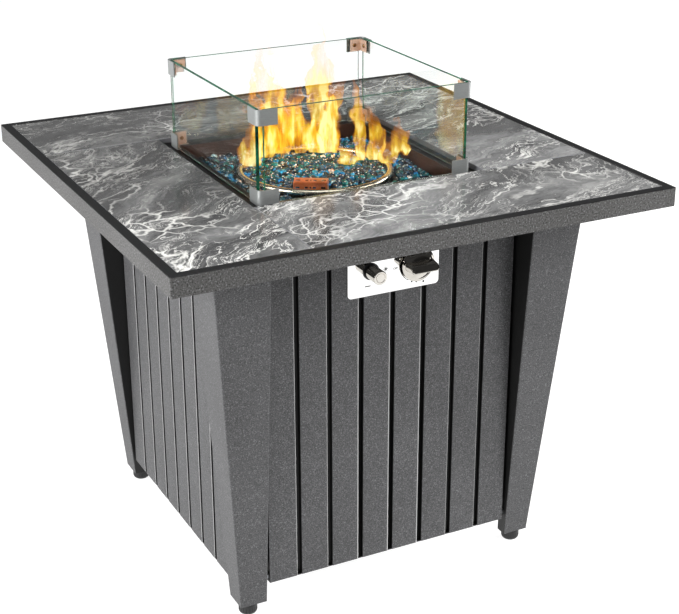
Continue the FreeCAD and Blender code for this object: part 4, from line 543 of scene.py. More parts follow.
def pane_glass(name, axis):
    """Toughened float glass: clear through its face, deep green along its edges where light runs far inside it."""
    material, tree, shader, place = new_finish(name, Metallic=0.0, Roughness=0.0, IOR=1.45, Transmission_Weight=1.0)
    edge = reckon(tree, "LESS_THAN", reckon(tree, "ABSOLUTE", facing(tree, axis)), 0.7)
    tint = ramp_of(tree, noise(tree, place, 14.0, 3.0), (0.0, (0.95, 1.0, 0.975)), (1.0, (1, 1, 1)))
    green = ramp_of(tree, noise(tree, place, 60.0), (0.35, linear("#0b3a2a")), (0.65, linear("#1d7a58")))
    feed(tree, shader, Base_Color=mix(tree, edge, tint, green),
         Transmission_Weight=remap(tree, edge, (0.0, 1.0), (1.0, 0.25)),
         Roughness=remap(tree, edge, (0.0, 1.0), (0.0, 0.25)))
    return material


def bead_glass(name, colours):
    """Tumbled glass beads with a mirrored back: deep teal to bright blue by bead, wet gloss, and near-white chips
    that are painted sparkles.
    """
    material, tree, shader, place = new_finish(name, Metallic=0.0, Roughness=0.06, IOR=1.5)
    shade = attribute(tree, "bead_shade")
    # The top of the ramp, near white and more metallic, is given to the chips that stand as painted sparkles
    tone = ramp_of(tree, shade, (0.0, linear("#010509")), (0.28, colours.bead_deep), (0.52, linear("#053c50")),
                   (0.72, linear("#086a66")), (0.90, colours.bead_bright), (0.95, linear("#3ba3b8")),
                   (1.0, linear("#f4f8f6")))
    depth = ramp_of(tree, noise(tree, place, 260.0), (0.3, grey(0.45)), (0.75, grey(1.7)))
    feed(tree, shader, Base_Color=mix(tree, 1.0, tone, depth, "MULTIPLY"),
         Metallic=remap(tree, shade, (0.5, 1.0), (0.1, 0.7)))
    return material


def heat_tint_and_painted_glow(name, cool, warm, roughness):
    """Sheet near the flames, two tones in drifting patches: on the bare copper of the igniter cover the brown and
    purple of heat, on the pan's walls a painted reflection of the flames' warm light.
    """
    material, tree, shader, place = new_finish(name, Metallic=0.4, Roughness=roughness)
    drift = noise(tree, place, 18.0, 5.0, Roughness=0.6)
    feed(tree, shader, Base_Color=ramp_of(tree, drift, (0.3, cool), (0.68, warm)),
         Normal=relief(tree, noise(tree, place, 700.0), 0.2, 0.2 * MM))
    return material


_finishes = {}


def finish(key, make, *values, **named):
    """Makes a material the first time that it is asked for."""
    if key not in _finishes:
        _finishes[key] = make(key, *values, **named)
    return _finishes[key]


def plated(key, light, dark, scale, roughness, metallic=1.0, **named):
    """A mottled finish from two hex values."""
    return finish(key, mottled, linear(light), linear(dark), scale, roughness, metallic, **named)


def chrome():
    return plated("chrome_plated_zinc", "#c8c4bd", "#b3afa8", 30.0, 0.06, strength=0.02)


def black_plastic():
    return plated("moulded_black_nylon", "#1b1b1c", "#131314", 120.0, 0.45, 0.0)


# Operators


class Piece:
    """What all operators share: each builds its pieces in the scene."""

    def execute(self, context):
        self.build(context.scene)
        return {"FINISHED"}


class FIREPIT_OT_coated_steel(Piece, bpy.types.Operator):
    """Coats the steel of the body, legs and top"""

    bl_idname = "fire_pit.coated_steel"
    bl_label = "Coated steel"

    def build(self, scene):
        colours = scene.fire_pit_colours
        body = (colours.coat, colours.coat_fleck, scene.fire_pit_sizes.hammer_cell)
        # The back frame and door are painted black in their gaps, as shade
        coat(["back_frame", "door_panel"], finish("hammered_coat_with_dark_gaps", hammered_coat, *body,
                                                  gap=abs(PANEL_FACE) - 0.5 * MM))
        # The slatted panels get painted shade in their gaps and a painted highlight on their rolled edges
        folded = finish("hammered_coat_on_rounded_slats", hammered_coat, *body, shaded="painted_gap_shade", rolled="painted_roll_highlight")
        for side in ("front", "right", "left"):
            self.slatted_panel(side, folded)
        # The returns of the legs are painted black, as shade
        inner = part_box("leg_front_right")[0].x + 0.3 * MM
        coat([f"leg_{corner}" for corner in CORNERS],
             finish("hammered_coat_of_the_legs", hammered_coat, *body, return_edge=inner))
        coat(["top_frame"], finish("hammered_coat_with_rim", rimmed_coat, *body[:2], colours.rim, body[2]))
        coat(["top_support_ring", "base_shelf"],
             plated("smooth_black_powder_coat", "#2a2a2b", "#1c1c1d", 60.0, 0.5, 0.0))

    def slatted_panel(self, side, material):
        """Opens the folded gaps by the springback of their folds, and rolls the right edge of each slat."""
        across = 1 if side == "front" else 0
        along = 1 - across
        # Outwards, and to the right as seen from outside
        out = -1 if side in ("front", "left") else 1
        right = -1 if side == "left" else 1
        face_depth = abs(PANEL_FACE)
        panel = merged(f"{side}_panel")

        def from_gap(place):
            """How far right of the nearest gap's centre a place lies. None beyond the last gap."""
            centre = GAP_PITCH * round(place / GAP_PITCH)
            return (place - centre) * right if abs(centre) < 3.5 * GAP_PITCH else None

        def edge_of_slat(edge, offset):
            ends = [vert.co for vert in edge.verts]
            if abs(ends[0].z - ends[1].z) < 100 * MM:
                return False
            places = [(out * end[across], from_gap(end[along])) for end in ends]
            return all(abs(depth - face_depth) < 0.05 * MM and place is not None
                       and abs(place - offset) < 0.1 * MM for depth, place in places)

        for vert in panel.data.vertices:
            place = from_gap(vert.co[along])
            if place is not None and abs(place) < GAP_REACH:
                vert.co[along] += math.copysign(GAP_OPENING, place) * right
        edit(panel)
        for offset, radius in ((-GAP_HALF - GAP_OPENING, SLAT_ROLL), (GAP_HALF + GAP_OPENING, 0.3 * MM)):
            choose("EDGE", lambda edge: edge_of_slat(edge, offset))
            bpy.ops.mesh.bevel(offset=radius, segments=3, clamp_overlap=False)
        done()
        # Faces deep in a gap are marked for painted shade, the faces of each roll for a painted highlight
        for key in ("painted_gap_shade", "painted_roll_highlight"):
            panel.data.attributes.new(key, "FLOAT", "FACE")
        gap_shades, rolls = (panel.data.attributes[key].data for key in ("painted_gap_shade", "painted_roll_highlight"))
        for face, shade, roll in zip(panel.data.polygons, gap_shades, rolls):
            depth = face_depth - out * face.center[across]
            rolled = 0.05 * MM <= depth < 2 * MM and out * face.normal[across] > 0.35
            roll.value = 1.0 if rolled and right * face.normal[along] > 0 else 0.0
            shade.value = 0.0 if depth < 0.05 * MM or rolled else 1.0
        finished(panel, f"slatted_{side}_panel", material, "base", [f"{side}_panel"], angle=12)


class FIREPIT_OT_tiles(Piece, bpy.types.Operator):
    """Glazes the four tiles, each cut from another place of the pattern"""

    bl_idname = "fire_pit.tiles"
    bl_label = "Tiles"

    def build(self, scene):
        # How the streaks run, which part of the pattern, how light the tile is and how strong its veins
        for side, *print_of_tile in (
            ("front", -0.55, (3.1, 1.7, 0.0), (0.92, 0.92), (0.6, 0.6)),
            ("right", -0.4, (7.9, 4.3, 0.0), (2.6, 1.1), (1.0, 0.8)),
            ("back", -0.2, (1.2, 9.6, 0.0), (0.6, 0.6), (0.35, 0.35)),
            ("left", -0.75, (5.4, 6.8, 0.0), (1.15, 0.62), (1.0, 0.4)),
        ):
            coat([f"tile_{side}"],
                 finish(f"glazed_marble_tile_{side}", marble, scene.fire_pit_colours, *print_of_tile))


class FIREPIT_OT_wind_guard(Piece, bpy.types.Operator):
    """Finishes the panes, corner clips and plates, and makes the screws that hold them"""

    bl_idname = "fire_pit.wind_guard"
    bl_label = "Wind guard"

    def build(self, scene):
        for side in SIDES:
            axis = "Y" if side in ("front", "back") else "X"
            coat([f"guard_glass_{side}"], finish(f"toughened_glass_across_{axis.lower()}", pane_glass, axis))
        coat(["guard_top_clips", "guard_bottom_clips"],
             finish("satin_anodised_aluminium", brushed, linear("#a3a6a5"), 0.42, LEVEL_LINES, 0.65))
        coat(["guard_clip_plates"],
             finish("aluminium_lit_by_fire", brushed, linear("#c9b6a6"), 0.45, LEVEL_LINES, 0.6))
        head = self.screw_head()
        low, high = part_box("guard_screws")
        heads = []
        for level in (low.z + 0.92 * SCREW_RADIUS, high.z - 0.92 * SCREW_RADIUS):
            for turn in range(4):
                for side in (-1, 1):
                    twin = copied(head)
                    seat = Matrix.Translation((SCREW_SPREAD * side, -high.x, level))
                    twin.matrix_world = (Matrix.Rotation(turn * math.pi / 2, 4, "Z") @ seat
                                         @ Matrix.Rotation(-math.pi / 2, 4, "X"))
                    heads.append(twin)
        bpy.data.objects.remove(head)
        tarnished = plated("heat_tarnished_zinc", "#a9855a", "#7c5a38", 90.0, 0.3)
        finished(joined(*heads), "guard_screw_heads", tarnished, "wind_guard", ["guard_screws"])

    def screw_head(self):
        """A domed head with a cross recess."""
        radius, rise = SCREW_RADIUS, 1.8 * MM
        head = turned([(0.0, 0.0), (radius, 0.0), (radius, rise * 0.35), (radius * 0.86, rise * 0.72),
                       (radius * 0.55, rise * 0.95), (0.0, rise)], 16)
        for turn in (0, math.pi / 2):
            cut(head, moved(block((radius * 1.2, radius * 0.3, rise), (0, 0, rise * 0.95)), turn=(0, 0, turn)))
        return head


class FIREPIT_OT_burner(Piece, bpy.types.Operator):
    """Spins the bowl with its rolled rim, and finishes the pan, ring burner and shield"""

    bl_idname = "fire_pit.burner"
    bl_label = "Burner bowl and pan"

    def build(self, scene):
        floor, foot, hole = PAN_FLOOR, 95 * MM, 11 * MM
        wall, level = BOWL_RADIUS - BOWL_ROLL, BOWL_RIM - BOWL_ROLL
        bowl = turned([(hole, floor), (foot - 4 * MM, floor),
                       *arc((foot - 4 * MM, floor + 5 * MM), 5 * MM, -80, -30, 3),
                       *arc((wall, level), BOWL_ROLL, -110, 230, 14),
                       (wall - BOWL_ROLL * 0.5 - 1.2 * MM, level - 4 * MM), (foot - 1 * MM, floor + 4 * MM),
                       (foot - 5 * MM, floor + 1 * MM), (hole, floor + 1 * MM), (hole, floor)], 96)
        steel = finish("spun_stainless_steel", brushed, linear("#d9cfbd"), 0.24, (1.0, 1.0, 6.0))
        finished(bowl, "spun_bowl", steel, "base", ["burner_bowl"])
        coat(["burner_pan"], finish("heat_browned_coat", ledge_coat))
        coat(["burner_ring", "valve_stem"], steel)
        coat(["heat_shield", "shield_posts", "leg_bolts", "leg_spacers", "flange_bolts", "door_pivot_pins",
              "catch_striker", "valve_screws", "burner_locknut", "mixing_tube", "flame_sensor"],
             plated("bright_zinc_plate", "#a9abad", "#8d9094", 90.0, 0.3))
        coat(["spark_electrode"], plated("unglazed_alumina", "#dcd8cc", "#cfc9ba", 80.0, 0.6, 0.0))


class FIREPIT_OT_igniter_cover(Piece, bpy.types.Operator):
    """Folds the slotted cover over the igniter"""

    bl_idname = "fire_pit.igniter_cover"
    bl_label = "Igniter cover"

    def build(self, scene):
        width, depth = COVER_SIZE
        height, sheet = 20 * MM, 0.8 * MM
        middle_y = -COVER_REACH + depth / 2
        cover = block((width, depth, height), (0, middle_y, COVER_HIGH - height / 2))
        edit(cover)
        choose("FACE", lambda face: face.normal.z < -0.5 or face.normal.y > 0.5)
        bpy.ops.mesh.delete(type="FACE")
        choose("EDGE", lambda edge: runs_along(edge, 2) and middle(edge).y < middle_y)
        bpy.ops.mesh.bevel(offset=2 * MM, segments=3)
        done()
        modified(cover, "SOLIDIFY", thickness=sheet, offset=-1.0, use_even_offset=True)
        rounded(cover, 0.25 * MM, angle=50)
        # Place across the cover and length of each opening in the top and in the front, in millimetres
        for across, length in ((-19, 7), (-6, 5), (0, 2.5), (6, 5), (19, 7)):
            for size, place in (((length, 6, 4), (across, 0.5, 0)), ((length, 4, 3), (across, -11, -8))):
                slot = block(mm(*size), (place[0] * MM, middle_y + place[1] * MM, COVER_HIGH + place[2] * MM))
                rounded(slot, 0.9 * MM)
                cut(cover, slot)
        legs = []
        top = COVER_HIGH - height + 1 * MM
        for side in (-1, 1):
            leg = block((sheet, 10 * MM, top - COVER_LOW),
                        (side * (width - sheet) / 2, middle_y + depth / 2 - 5 * MM, (top + COVER_LOW) / 2))
            rounded(leg, 0.2 * MM, 1)
            legs.append(leg)
        cover = moved(joined(*legs, cover), turn=(0, 0, -COVER_TURN))
        copper = finish("heated_copper_sheet", heat_tint_and_painted_glow, linear("#702c0b"), linear("#c9682d"), 0.3)
        finished(cover, "slotted_igniter_cover", copper, "base", ["igniter_cover"])


class FIREPIT_OT_fire_glass(Piece, bpy.types.Operator):
    """Pours the glass beads into the bowl and round it"""

    bl_idname = "fire_pit.fire_glass"
    bl_label = "Fire glass"

    def build(self, scene):
        sizes = scene.fire_pit_sizes
        glass = finish("mirrored_glass_beads", bead_glass, scene.fire_pit_colours)
        patterns = [self.bead(sizes.bead_size, seed) for seed in range(BEAD_PATTERNS)]
        draw = random.Random(BEAD_SEED)
        inner = BOWL_RADIUS - 12 * MM
        outer = BOWL_RADIUS + 6 * MM
        cover_axis = Matrix.Rotation(-COVER_TURN, 3, "Z") @ Vector((0, -COVER_REACH + COVER_SIZE[1] / 2, 0))

        def in_bowl(x, y):
            here = Matrix.Rotation(COVER_TURN, 3, "Z") @ (Vector((x, y, 0)) - cover_axis)
            beside = abs(here.x) > COVER_SIZE[0] / 2 + 4 * MM or abs(here.y) > COVER_SIZE[1] / 2 + 4 * MM
            return math.hypot(x, y) < inner and beside

        def in_pan(x, y):
            return abs(x) < PAN_HALF and abs(y) < PAN_HALF and math.hypot(x, y) > outer

        def crown(x, y):
            """The beads are heaped in the middle of the bowl."""
            return BOWL_RIM - sizes.glass_fill + 3 * MM * (1 - (math.hypot(x, y) / inner) ** 2)

        def slump(x, y):
            """The beads lie deeper between the bowl and the front wall."""
            return pan_level - 9 * MM * min(1.0, max(0.0, (-70 * MM - y) / (45 * MM)))

        pan_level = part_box("fire_glass_pan")[1].z - sizes.bead_size / 2
        for name, node, reach, inside, top in (("bowl_beads", "fire_glass_bowl", inner, in_bowl, crown),
                                               ("pan_beads", "fire_glass_pan", PAN_HALF, in_pan, slump)):
            bed = self.bed(draw, patterns, sizes, reach, inside, top)
            finished(bed, name, glass, "base", [node], angle=180)
        for pattern in patterns:
            bpy.data.objects.remove(pattern)

    def bead(self, size, seed):
        """One tumbled bead of 24 faces, pressed out of round."""
        draw = random.Random(seed)
        bpy.ops.object.select_all(action="DESELECT")
        bpy.ops.mesh.primitive_cube_add(size=size * 0.62)
        bpy.ops.object.mode_set(mode="EDIT")
        bpy.ops.mesh.select_all(action="SELECT")
        bpy.ops.mesh.subdivide(number_cuts=1, smoothness=1.0)
        bpy.ops.transform.resize(value=(draw.uniform(0.95, 1.15), draw.uniform(0.85, 1.0), draw.uniform(0.75, 0.9)))
        bead = done()
        for vert in bead.data.vertices:
            vert.co *= draw.uniform(0.95, 1.05)
        bead.data.attributes.new("bead_shade", "FLOAT", "POINT")
        return bead

    def bed(self, draw, patterns, sizes, reach, inside, top):
        """Copies of the beads in uneven layers, joined to one piece."""
        beads = []
        pitch = sizes.bead_spacing
        count = int(reach / pitch) + 1
        for layer in range(BEAD_LAYERS):
            for row in range(-count, count + 1):
                for column in range(-count, count + 1):
                    x = (column + (row % 2) * 0.5 + draw.uniform(-0.33, 0.33)) * pitch
                    y = (row * 0.87 + draw.uniform(-0.33, 0.33)) * pitch
                    turn = [draw.uniform(-0.6, 0.6), draw.uniform(-0.6, 0.6), draw.uniform(0, 6.28)]
                    lift = draw.uniform(-1.5, 1.5) * MM
                    size = draw.uniform(0.78, 1.12)
                    shade = draw.random()
                    pattern = draw.choice(patterns)
                    if not inside(x, y):
                        continue
                    z = top(x, y) + lift - layer * pitch * 0.55
                    beads.append(self.placed(pattern, (x, y, z), turn, size, shade))
                    if layer == 0:
                        # A tiny near-white chip between the beads: a painted sparkle
                        spot = (x + draw.uniform(-0.3, 0.3) * pitch, y + draw.uniform(-0.3, 0.3) * pitch,
                                z + 0.33 * sizes.bead_size * size)
                        beads.append(self.placed(pattern, spot, turn, draw.uniform(0.14, 0.26), 1.0))
        return joined(*beads)

    def placed(self, pattern, place, turn, size, shade):
        """A copy of a bead, with its shade between deep and bright kept in an attribute."""
        twin = copied(pattern)
        twin.location = place
        twin.rotation_euler = turn
        twin.scale = (size, size, size)
        twin.data.attributes["bead_shade"].data.foreach_set("value", [shade] * len(twin.data.vertices))
        return twin


class FIREPIT_OT_control_plate(Piece, bpy.types.Operator):
    """Makes the polished plate and its printed marks"""

    bl_idname = "fire_pit.control_plate"
    bl_label = "Control plate"

    def build(self, scene):
        centre = (PLATE_LOW + PLATE_HIGH) / 2
        plate = block(tuple(PLATE_HIGH - PLATE_LOW), tuple(centre))
        edit(plate)
        choose("EDGE", lambda edge: runs_along(edge, 1))
        bpy.ops.mesh.bevel(offset=6 * MM, segments=6)
        choose("FACE", lambda face: face.normal.y < -0.5)
        bpy.ops.mesh.inset(thickness=0.8 * MM, depth=0)
        done()
        rounded(plate, 0.35 * MM, angle=50)
        for (x, z), radius in ((KNOB_PLACE, 4.5 * MM), (BUTTON_PLACE, 9.6 * MM)):
            bpy.ops.object.select_all(action="DESELECT")
            bpy.ops.mesh.primitive_cylinder_add(vertices=32, radius=radius, depth=0.02, location=(x, centre.y, z),
                                                rotation=FORWARD)
            cut(plate, bpy.context.object)
        mirror = plated("mirror_polished_steel", "#f1f1f0", "#e6e6e4", 6.0, 0.035, strength=0.02)
        finished(plate, "polished_plate", mirror, "base", ["control_plate"])
        self.marks()

    def marks(self):
        """Generic printed marks: OFF, an arc that ends in growing dots, a dash, and a small spark."""
        x, z = KNOB_PLACE
        pieces = [self.word("OFF", 4.2 * MM, x - 34.0 * MM, z - 3.8 * MM)]
        radius = 27.0 * MM
        for i in range(5):
            angle = math.radians(196 + 10 * i)
            pieces.append(self.dash((5.0, 1.0), x + radius * math.cos(angle), z + radius * math.sin(angle),
                                    angle + math.pi / 2))
        for i, across in enumerate((-7.3, 0.2, 11.7)):
            pieces.append(self.dot((1.3 + 0.15 * i) * MM, x + across * MM, z - (27.0 + 1.4 * i) * MM))
        x, z = BUTTON_PLACE
        for turn in range(4):
            pieces.append(self.dash((7.5, 0.9), x + 23.5 * MM, z - 0.5 * MM, math.radians(45 * turn)))
        pieces.append(self.dash((9, 1.5), x - 5 * MM, z - 21.5 * MM, 0))
        ink = plated("black_screen_print", "#161514", "#0f0e0d", 200.0, 0.5, 0.0)
        finished(joined(*pieces), "printed_marks", ink, "base")

    def printed(self, mark, x, z):
        """Sets a mark that was drawn lying down on the plate's face."""
        return moved(mark, (x, PLATE_LOW.y - 0.03 * MM, z), FORWARD)

    def word(self, text, size, x, z):
        """Printed letters of this size, a little fattened so that they show."""
        bpy.ops.object.select_all(action="DESELECT")
        bpy.ops.object.text_add()
        letters = bpy.context.object
        letters.data.body = text
        letters.data.size = size
        letters.data.align_x = "CENTER"
        letters.data.extrude = 0.04 * MM
        letters.data.offset = 0.12 * MM
        bpy.ops.object.convert(target="MESH")
        return self.printed(bpy.context.object, x, z)

    def dash(self, size, x, z, angle):
        """A bar of this length and width, in millimetres."""
        bar = block(mm(*size, 0.08))
        rounded(bar, size[1] * 0.3 * MM)
        return self.printed(moved(bar, turn=(0, 0, angle)), x, z)

    def dot(self, radius, x, z):
        """A small domed spot of ink."""
        low, edge, high = mm(-0.04, 0.03, 0.05)
        spot = turned([(0, low), (radius, low), (radius, edge), (radius * 0.8, high), (0, high)], 16)
        return self.printed(spot, x, z)


class FIREPIT_OT_control_knob(Piece, bpy.types.Operator):
    """Casts the knob: domed skirt, grip bar with rounded ends and a pointer line"""

    bl_idname = "fire_pit.control_knob"
    bl_label = "Control knob"

    def build(self, scene):
        back = PANEL_FACE - KNOB_HIGH.y
        front = PANEL_FACE - KNOB_LOW.y
        radius = (KNOB_HIGH.x - KNOB_LOW.x) / 2
        rim = [(radius - 2 * MM, back), (radius - 0.6 * MM, back),
               *arc((radius - 1.2 * MM, back + 1.2 * MM), 1.2 * MM, -60, 80, 5)]
        # How far in from the rim and forward from the back, in millimetres
        dome = [(radius - inward * MM, back + forward * MM)
                for inward, forward in ((3, 3.1), (5, 4.3), (8, 6.6), (12, 7.8))]
        hollow = [(0, back + 8.2 * MM), (0, back + 6 * MM), (radius - 9 * MM, back + 4 * MM),
                  (radius - 2 * MM, back + 2 * MM), (radius - 2 * MM, back)]
        skirt = turned([*rim, *dome, *hollow], 72)
        start = back + 4 * MM
        # The grip leans back towards its upper edge
        slope = 4 * MM
        bar = block((47 * MM, 14 * MM, front - start), (0, 0, (front + start) / 2))
        edit(bar)
        choose("EDGE", lambda edge: runs_along(edge, 2))
        bpy.ops.mesh.bevel(offset=5.5 * MM, segments=5)
        choose("FACE", lambda face: face.normal.z > 0.5)
        bpy.ops.transform.resize(value=(0.93, 0.8, 1))
        choose("VERT", lambda vert: vert.co.z > front - 0.1 * MM and vert.co.y > 0)
        bpy.ops.transform.translate(value=(0, 0, -slope))
        done()
        rounded(bar, 1.5 * MM, 4, 25)
        pointer = block(mm(13, 1.1, 0.8))
        cut(bar, moved(pointer, (-13 * MM, 0, front - slope / 2), (-math.atan2(slope, 10 * MM), 0, 0)))
        knob = moved(joined(bar, skirt), (KNOB_PLACE[0], PANEL_FACE, KNOB_PLACE[1]), FORWARD)
        finished(knob, "cast_knob", chrome(), "control_knob", ["control_knob"])


class FIREPIT_OT_igniter_button(Piece, bpy.types.Operator):
    """Makes the push button with its ringed face, and finishes the igniter's body and nut behind it"""

    bl_idname = "fire_pit.igniter_button"
    bl_label = "Igniter button"

    def build(self, scene):
        back = PANEL_FACE - BUTTON_HIGH.y
        front = PANEL_FACE - BUTTON_LOW.y
        radius = (BUTTON_HIGH.x - BUTTON_LOW.x) / 2
        inner = radius - 1 * MM
        button = turned([(inner, back), (radius, back), (radius, front - 1.2 * MM),
                         *arc((radius - 1.2 * MM, front - 1.2 * MM), 1.2 * MM, 15, 90, 4),
                         (radius * 0.72, front), (radius * 0.68, front - 0.7 * MM), (radius * 0.62, front - 0.7 * MM),
                         (radius * 0.58, front - 0.1 * MM), (0, front - 0.1 * MM), (0, front - 3 * MM),
                         (inner, front - 3 * MM), (inner, back)], 64)
        moved(button, (BUTTON_PLACE[0], PANEL_FACE, BUTTON_PLACE[1]), FORWARD)
        finished(button, "push_button", chrome(), "igniter_button", ["igniter_button"])
        coat(["igniter_body"], plated("moulded_black_igniter", "#202021", "#151516", 90.0, 0.32, 0.0))
        coat(["igniter_nut", "catch_magnet"], black_plastic())


class FIREPIT_OT_feet(Piece, bpy.types.Operator):
    """Turns the four glides with their ribbed bases, collars and studs"""

    bl_idname = "fire_pit.feet"
    bl_label = "Glides"

    def build(self, scene):
        radius = 14 * MM
        for corner in CORNERS:
            node = f"foot_{corner}"
            low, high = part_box(node)
            axis = (low + high) / 2
            foot = turned([(0, 0), *arc((radius - 6 * MM, 6 * MM), 6 * MM, -90, 0, 6), (radius, 13 * MM),
                           *arc((radius - 2 * MM, 16 * MM), 2 * MM, 0, 90, 4), mm(8.5, 18), mm(4, 18),
                           (4 * MM, high.z - 1 * MM), (3 * MM, high.z), (0, high.z)], 40)
            edit(foot)
            choose("FACE", self.in_groove)
            bpy.ops.mesh.inset(thickness=0.3 * MM, depth=-0.5 * MM, use_individual=True)
            done()
            moved(foot, (axis.x, axis.y, 0))
            finished(foot, f"ribbed_glide_{corner}", black_plastic(), node, [node])

    def in_groove(self, face):
        """Every second face of the upright band round the base."""
        place = middle(face)
        upright = abs(face.normal.z) < 0.2 and 7 * MM < place.z < 14 * MM
        return upright and math.degrees(math.atan2(place.y, place.x)) % 18 < 9


class FIREPIT_OT_door_pull(Piece, bpy.types.Operator):
    """Turns the pull on the door"""

    bl_idname = "fire_pit.door_pull"
    bl_label = "Door pull"

    def build(self, scene):
        low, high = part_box("door_pull")
        axis = (low + high) / 2
        length = high.y - low.y
        pull = turned([(0, 0), (7 * MM, 0), (7 * MM, 1 * MM), *arc((10.5 * MM, 7 * MM), 5.6 * MM, 240, 130, 7),
                       (9.6 * MM, length * 0.62), *arc((9 * MM, length * 0.78), 2 * MM, -50, 60, 5),
                       (7.5 * MM, length * 0.96), (4 * MM, length), (0, length)])
        moved(pull, (axis.x, low.y, axis.z), (-math.pi / 2, 0, 0))
        finished(pull, "turned_pull", chrome(), "door", ["door_pull"])


class FIREPIT_OT_gas_train(Piece, bpy.types.Operator):
    """Finishes the brass valve, its plug, the elbow, jet and pipe"""

    bl_idname = "fire_pit.gas_train"
    bl_label = "Valve and pipe"

    def build(self, scene):
        coat(["burner_elbow", "gas_jet", "valve_body", "valve_plug"],
             plated("turned_brass", "#c8a25a", "#a9823f", 60.0, 0.28))
        coat(["gas_pipe"], finish("drawn_aluminium_tube", brushed, linear("#bfc0c1"), 0.3, (1.0, 0.2, 1.0)))


class FIREPIT_OT_stage(Piece, bpy.types.Operator):
    """Sets the floor, flames, lights and camera"""

    bl_idname = "fire_pit.stage"
    bl_label = "Stage"

    def build(self, scene):
        scene.view_settings.view_transform = "Standard"
        self.floor()
        self.flames()
        self.surroundings(scene)
        self.lights()
        self.camera(scene)

    def floor(self):
        """A pale floor that glows a little, so that only a breath of shadow shows on it."""
        bpy.ops.object.select_all(action="DESELECT")
        bpy.ops.mesh.primitive_plane_add(size=FLOOR_SIZE, location=(0, FLOOR_SIZE / 2 + FLOOR_FRONT, 0))
        bpy.ops.object.transform_apply(location=True, rotation=False, scale=False)
        floor = bpy.context.object
        floor.name = "studio_floor"
        material, tree, shader, place = new_finish("pale_studio_floor", Roughness=0.9, Emission_Strength=0.94)
        shader.inputs["Emission Color"].default_value = grey(1.0)
        feed(tree, shader, Base_Color=ramp_of(tree, noise(tree, place, 1.5), (0.0, grey(0.20)), (1.0, grey(0.23))))
        floor.data.materials.append(material)

    def flames(self):
        """Tongues of flame over the ring burner: bent sheets, two across each other, that fray towards the tip."""
        fire = finish("gas_flame", self.flame_finish)
        # Across the picture, away from the front, width, height and lean of each tongue, in millimetres
        tongues = ((-94, 6, 50, 98, -22), (-80, 58, 44, 122, -8), (-52, 84, 48, 104, 12), (-28, 80, 42, 126, -10),
                   (-4, 80, 34, 74, 12), (-56, 66, 92, 200, -14), (20, 88, 40, 128, 14), (18, 84, 56, 236, -34),
                   (68, 36, 32, 156, -6), (88, 36, 40, 104, -14), (112, 22, 50, 72, 22), (50, 16, 40, 34, -14))
        for i, (across, along, width, height, lean) in enumerate(tongues):
            place = Vector((0.8917 * across + 0.4526 * along, 0.8917 * along - 0.4526 * across, 0)) * MM
            place.z = FLAME_FOOT
            for j, turn in enumerate((-27, 50)):
                sheet = self.tongue(10 * i + j, width * MM, height * MM, lean * MM * (1 - j))
                moved(sheet, place, (0, 0, math.radians(turn)))
                sheet.name = f"flame_{i}_{j}"
                sheet.data.materials.append(fire)
                only(sheet)
                bpy.ops.object.shade_smooth()

    def tongue(self, seed, width, height, lean):
        """One bent sheet with its own unwrapping, upright across the X axis."""
        bpy.ops.object.select_all(action="DESELECT")
        bpy.ops.mesh.primitive_grid_add(x_subdivisions=6, y_subdivisions=24, size=1, rotation=FORWARD,
                                        location=(0, 0, 0.5))
        bpy.ops.object.transform_apply(location=True, rotation=True, scale=True)
        sheet = bpy.context.object
        phase = random.Random(seed + 5).uniform(0, 6.28)
        for vert in sheet.data.vertices:
            level = vert.co.z
            swing = 0.22 * width * math.sin(phase + 6 * level) * level ** 0.5
            vert.co = (width * vert.co.x + lean * level * level + swing,
                       0.25 * width * (vert.co.x ** 2) + 0.12 * width * math.sin(phase * 1.7 + 4 * level),
                       height * level)
        return sheet

    def flame_finish(self, name):
        """Burning gas: bright yellow streaks, orange fringe, torn into licks. It adds light to what is behind."""
        material = bpy.data.materials.new(name)
        material.use_nodes = True
        tree = material.node_tree
        tree.nodes.clear()

        def centred(value):
            return reckon(tree, "SUBTRACT", value, 0.5)

        def product(first, second):
            return reckon(tree, "MULTIPLY", first, second)

        place = add(tree, "TexCoord").outputs["Object"]
        across, level = add(tree, "SeparateXYZ", {0: add(tree, "UVMap").outputs[0]}).outputs[:2]
        swirl = centred(noise(tree, place, 30.0, 3.0))
        bent = reckon(tree, "ADD", across, product(swirl, product(reckon(tree, "ADD", level, 0.15), 1.3)))
        outline = ramp_of(tree, level, (0.0, grey(0.22)), (0.06, grey(0.36)), (0.2, grey(0.45)), (0.45, grey(0.33)),
                          (0.75, grey(0.18)), (1.0, grey(0.02)))
        aside = reckon(tree, "DIVIDE", reckon(tree, "ABSOLUTE", centred(bent)), outline)
        drawn = stretched(tree, place, (1.0, 1.0, 0.28))
        licks = product(centred(noise(tree, drawn, 42.0, 3.0, Roughness=0.5)), 2.8)
        body = remap(tree, reckon(tree, "ADD", aside, licks), (1.0, 0.72), interpolation_type="SMOOTHSTEP")
        bright = remap(tree, noise(tree, drawn, 80.0), (0.36, 0.62), (0.3, 1.0))
        fade = remap(tree, level, (0.3, 0.85), (1.0, 0.12))
        # A sheet that is seen edge-on would show as a line
        edge_on = remap(tree, add(tree, "LayerWeight", {"Blend": 0.5}).outputs["Facing"], (0.45, 0.8), (1.0, 0.0))
        amount = product(product(body, bright), product(fade, edge_on))
        colour = ramp_of(tree, amount, (0.0, linear("#ff8414")), (0.35, linear("#ffa722")), (0.65, linear("#ffcd38")),
                         (0.95, linear("#fff0a0")))
        glow = add(tree, "Emission", {"Color": colour, "Strength": product(amount, 1.25)})
        covered = ramp_of(tree, amount, (0.0, grey(1.0)), (1.0, grey(0.25)))
        clear = add(tree, "BsdfTransparent", {"Color": covered})
        both = add(tree, "AddShader", {0: clear.outputs[0], 1: glow.outputs[0]})
        add(tree, "OutputMaterial", {"Surface": both.outputs[0]})
        return material

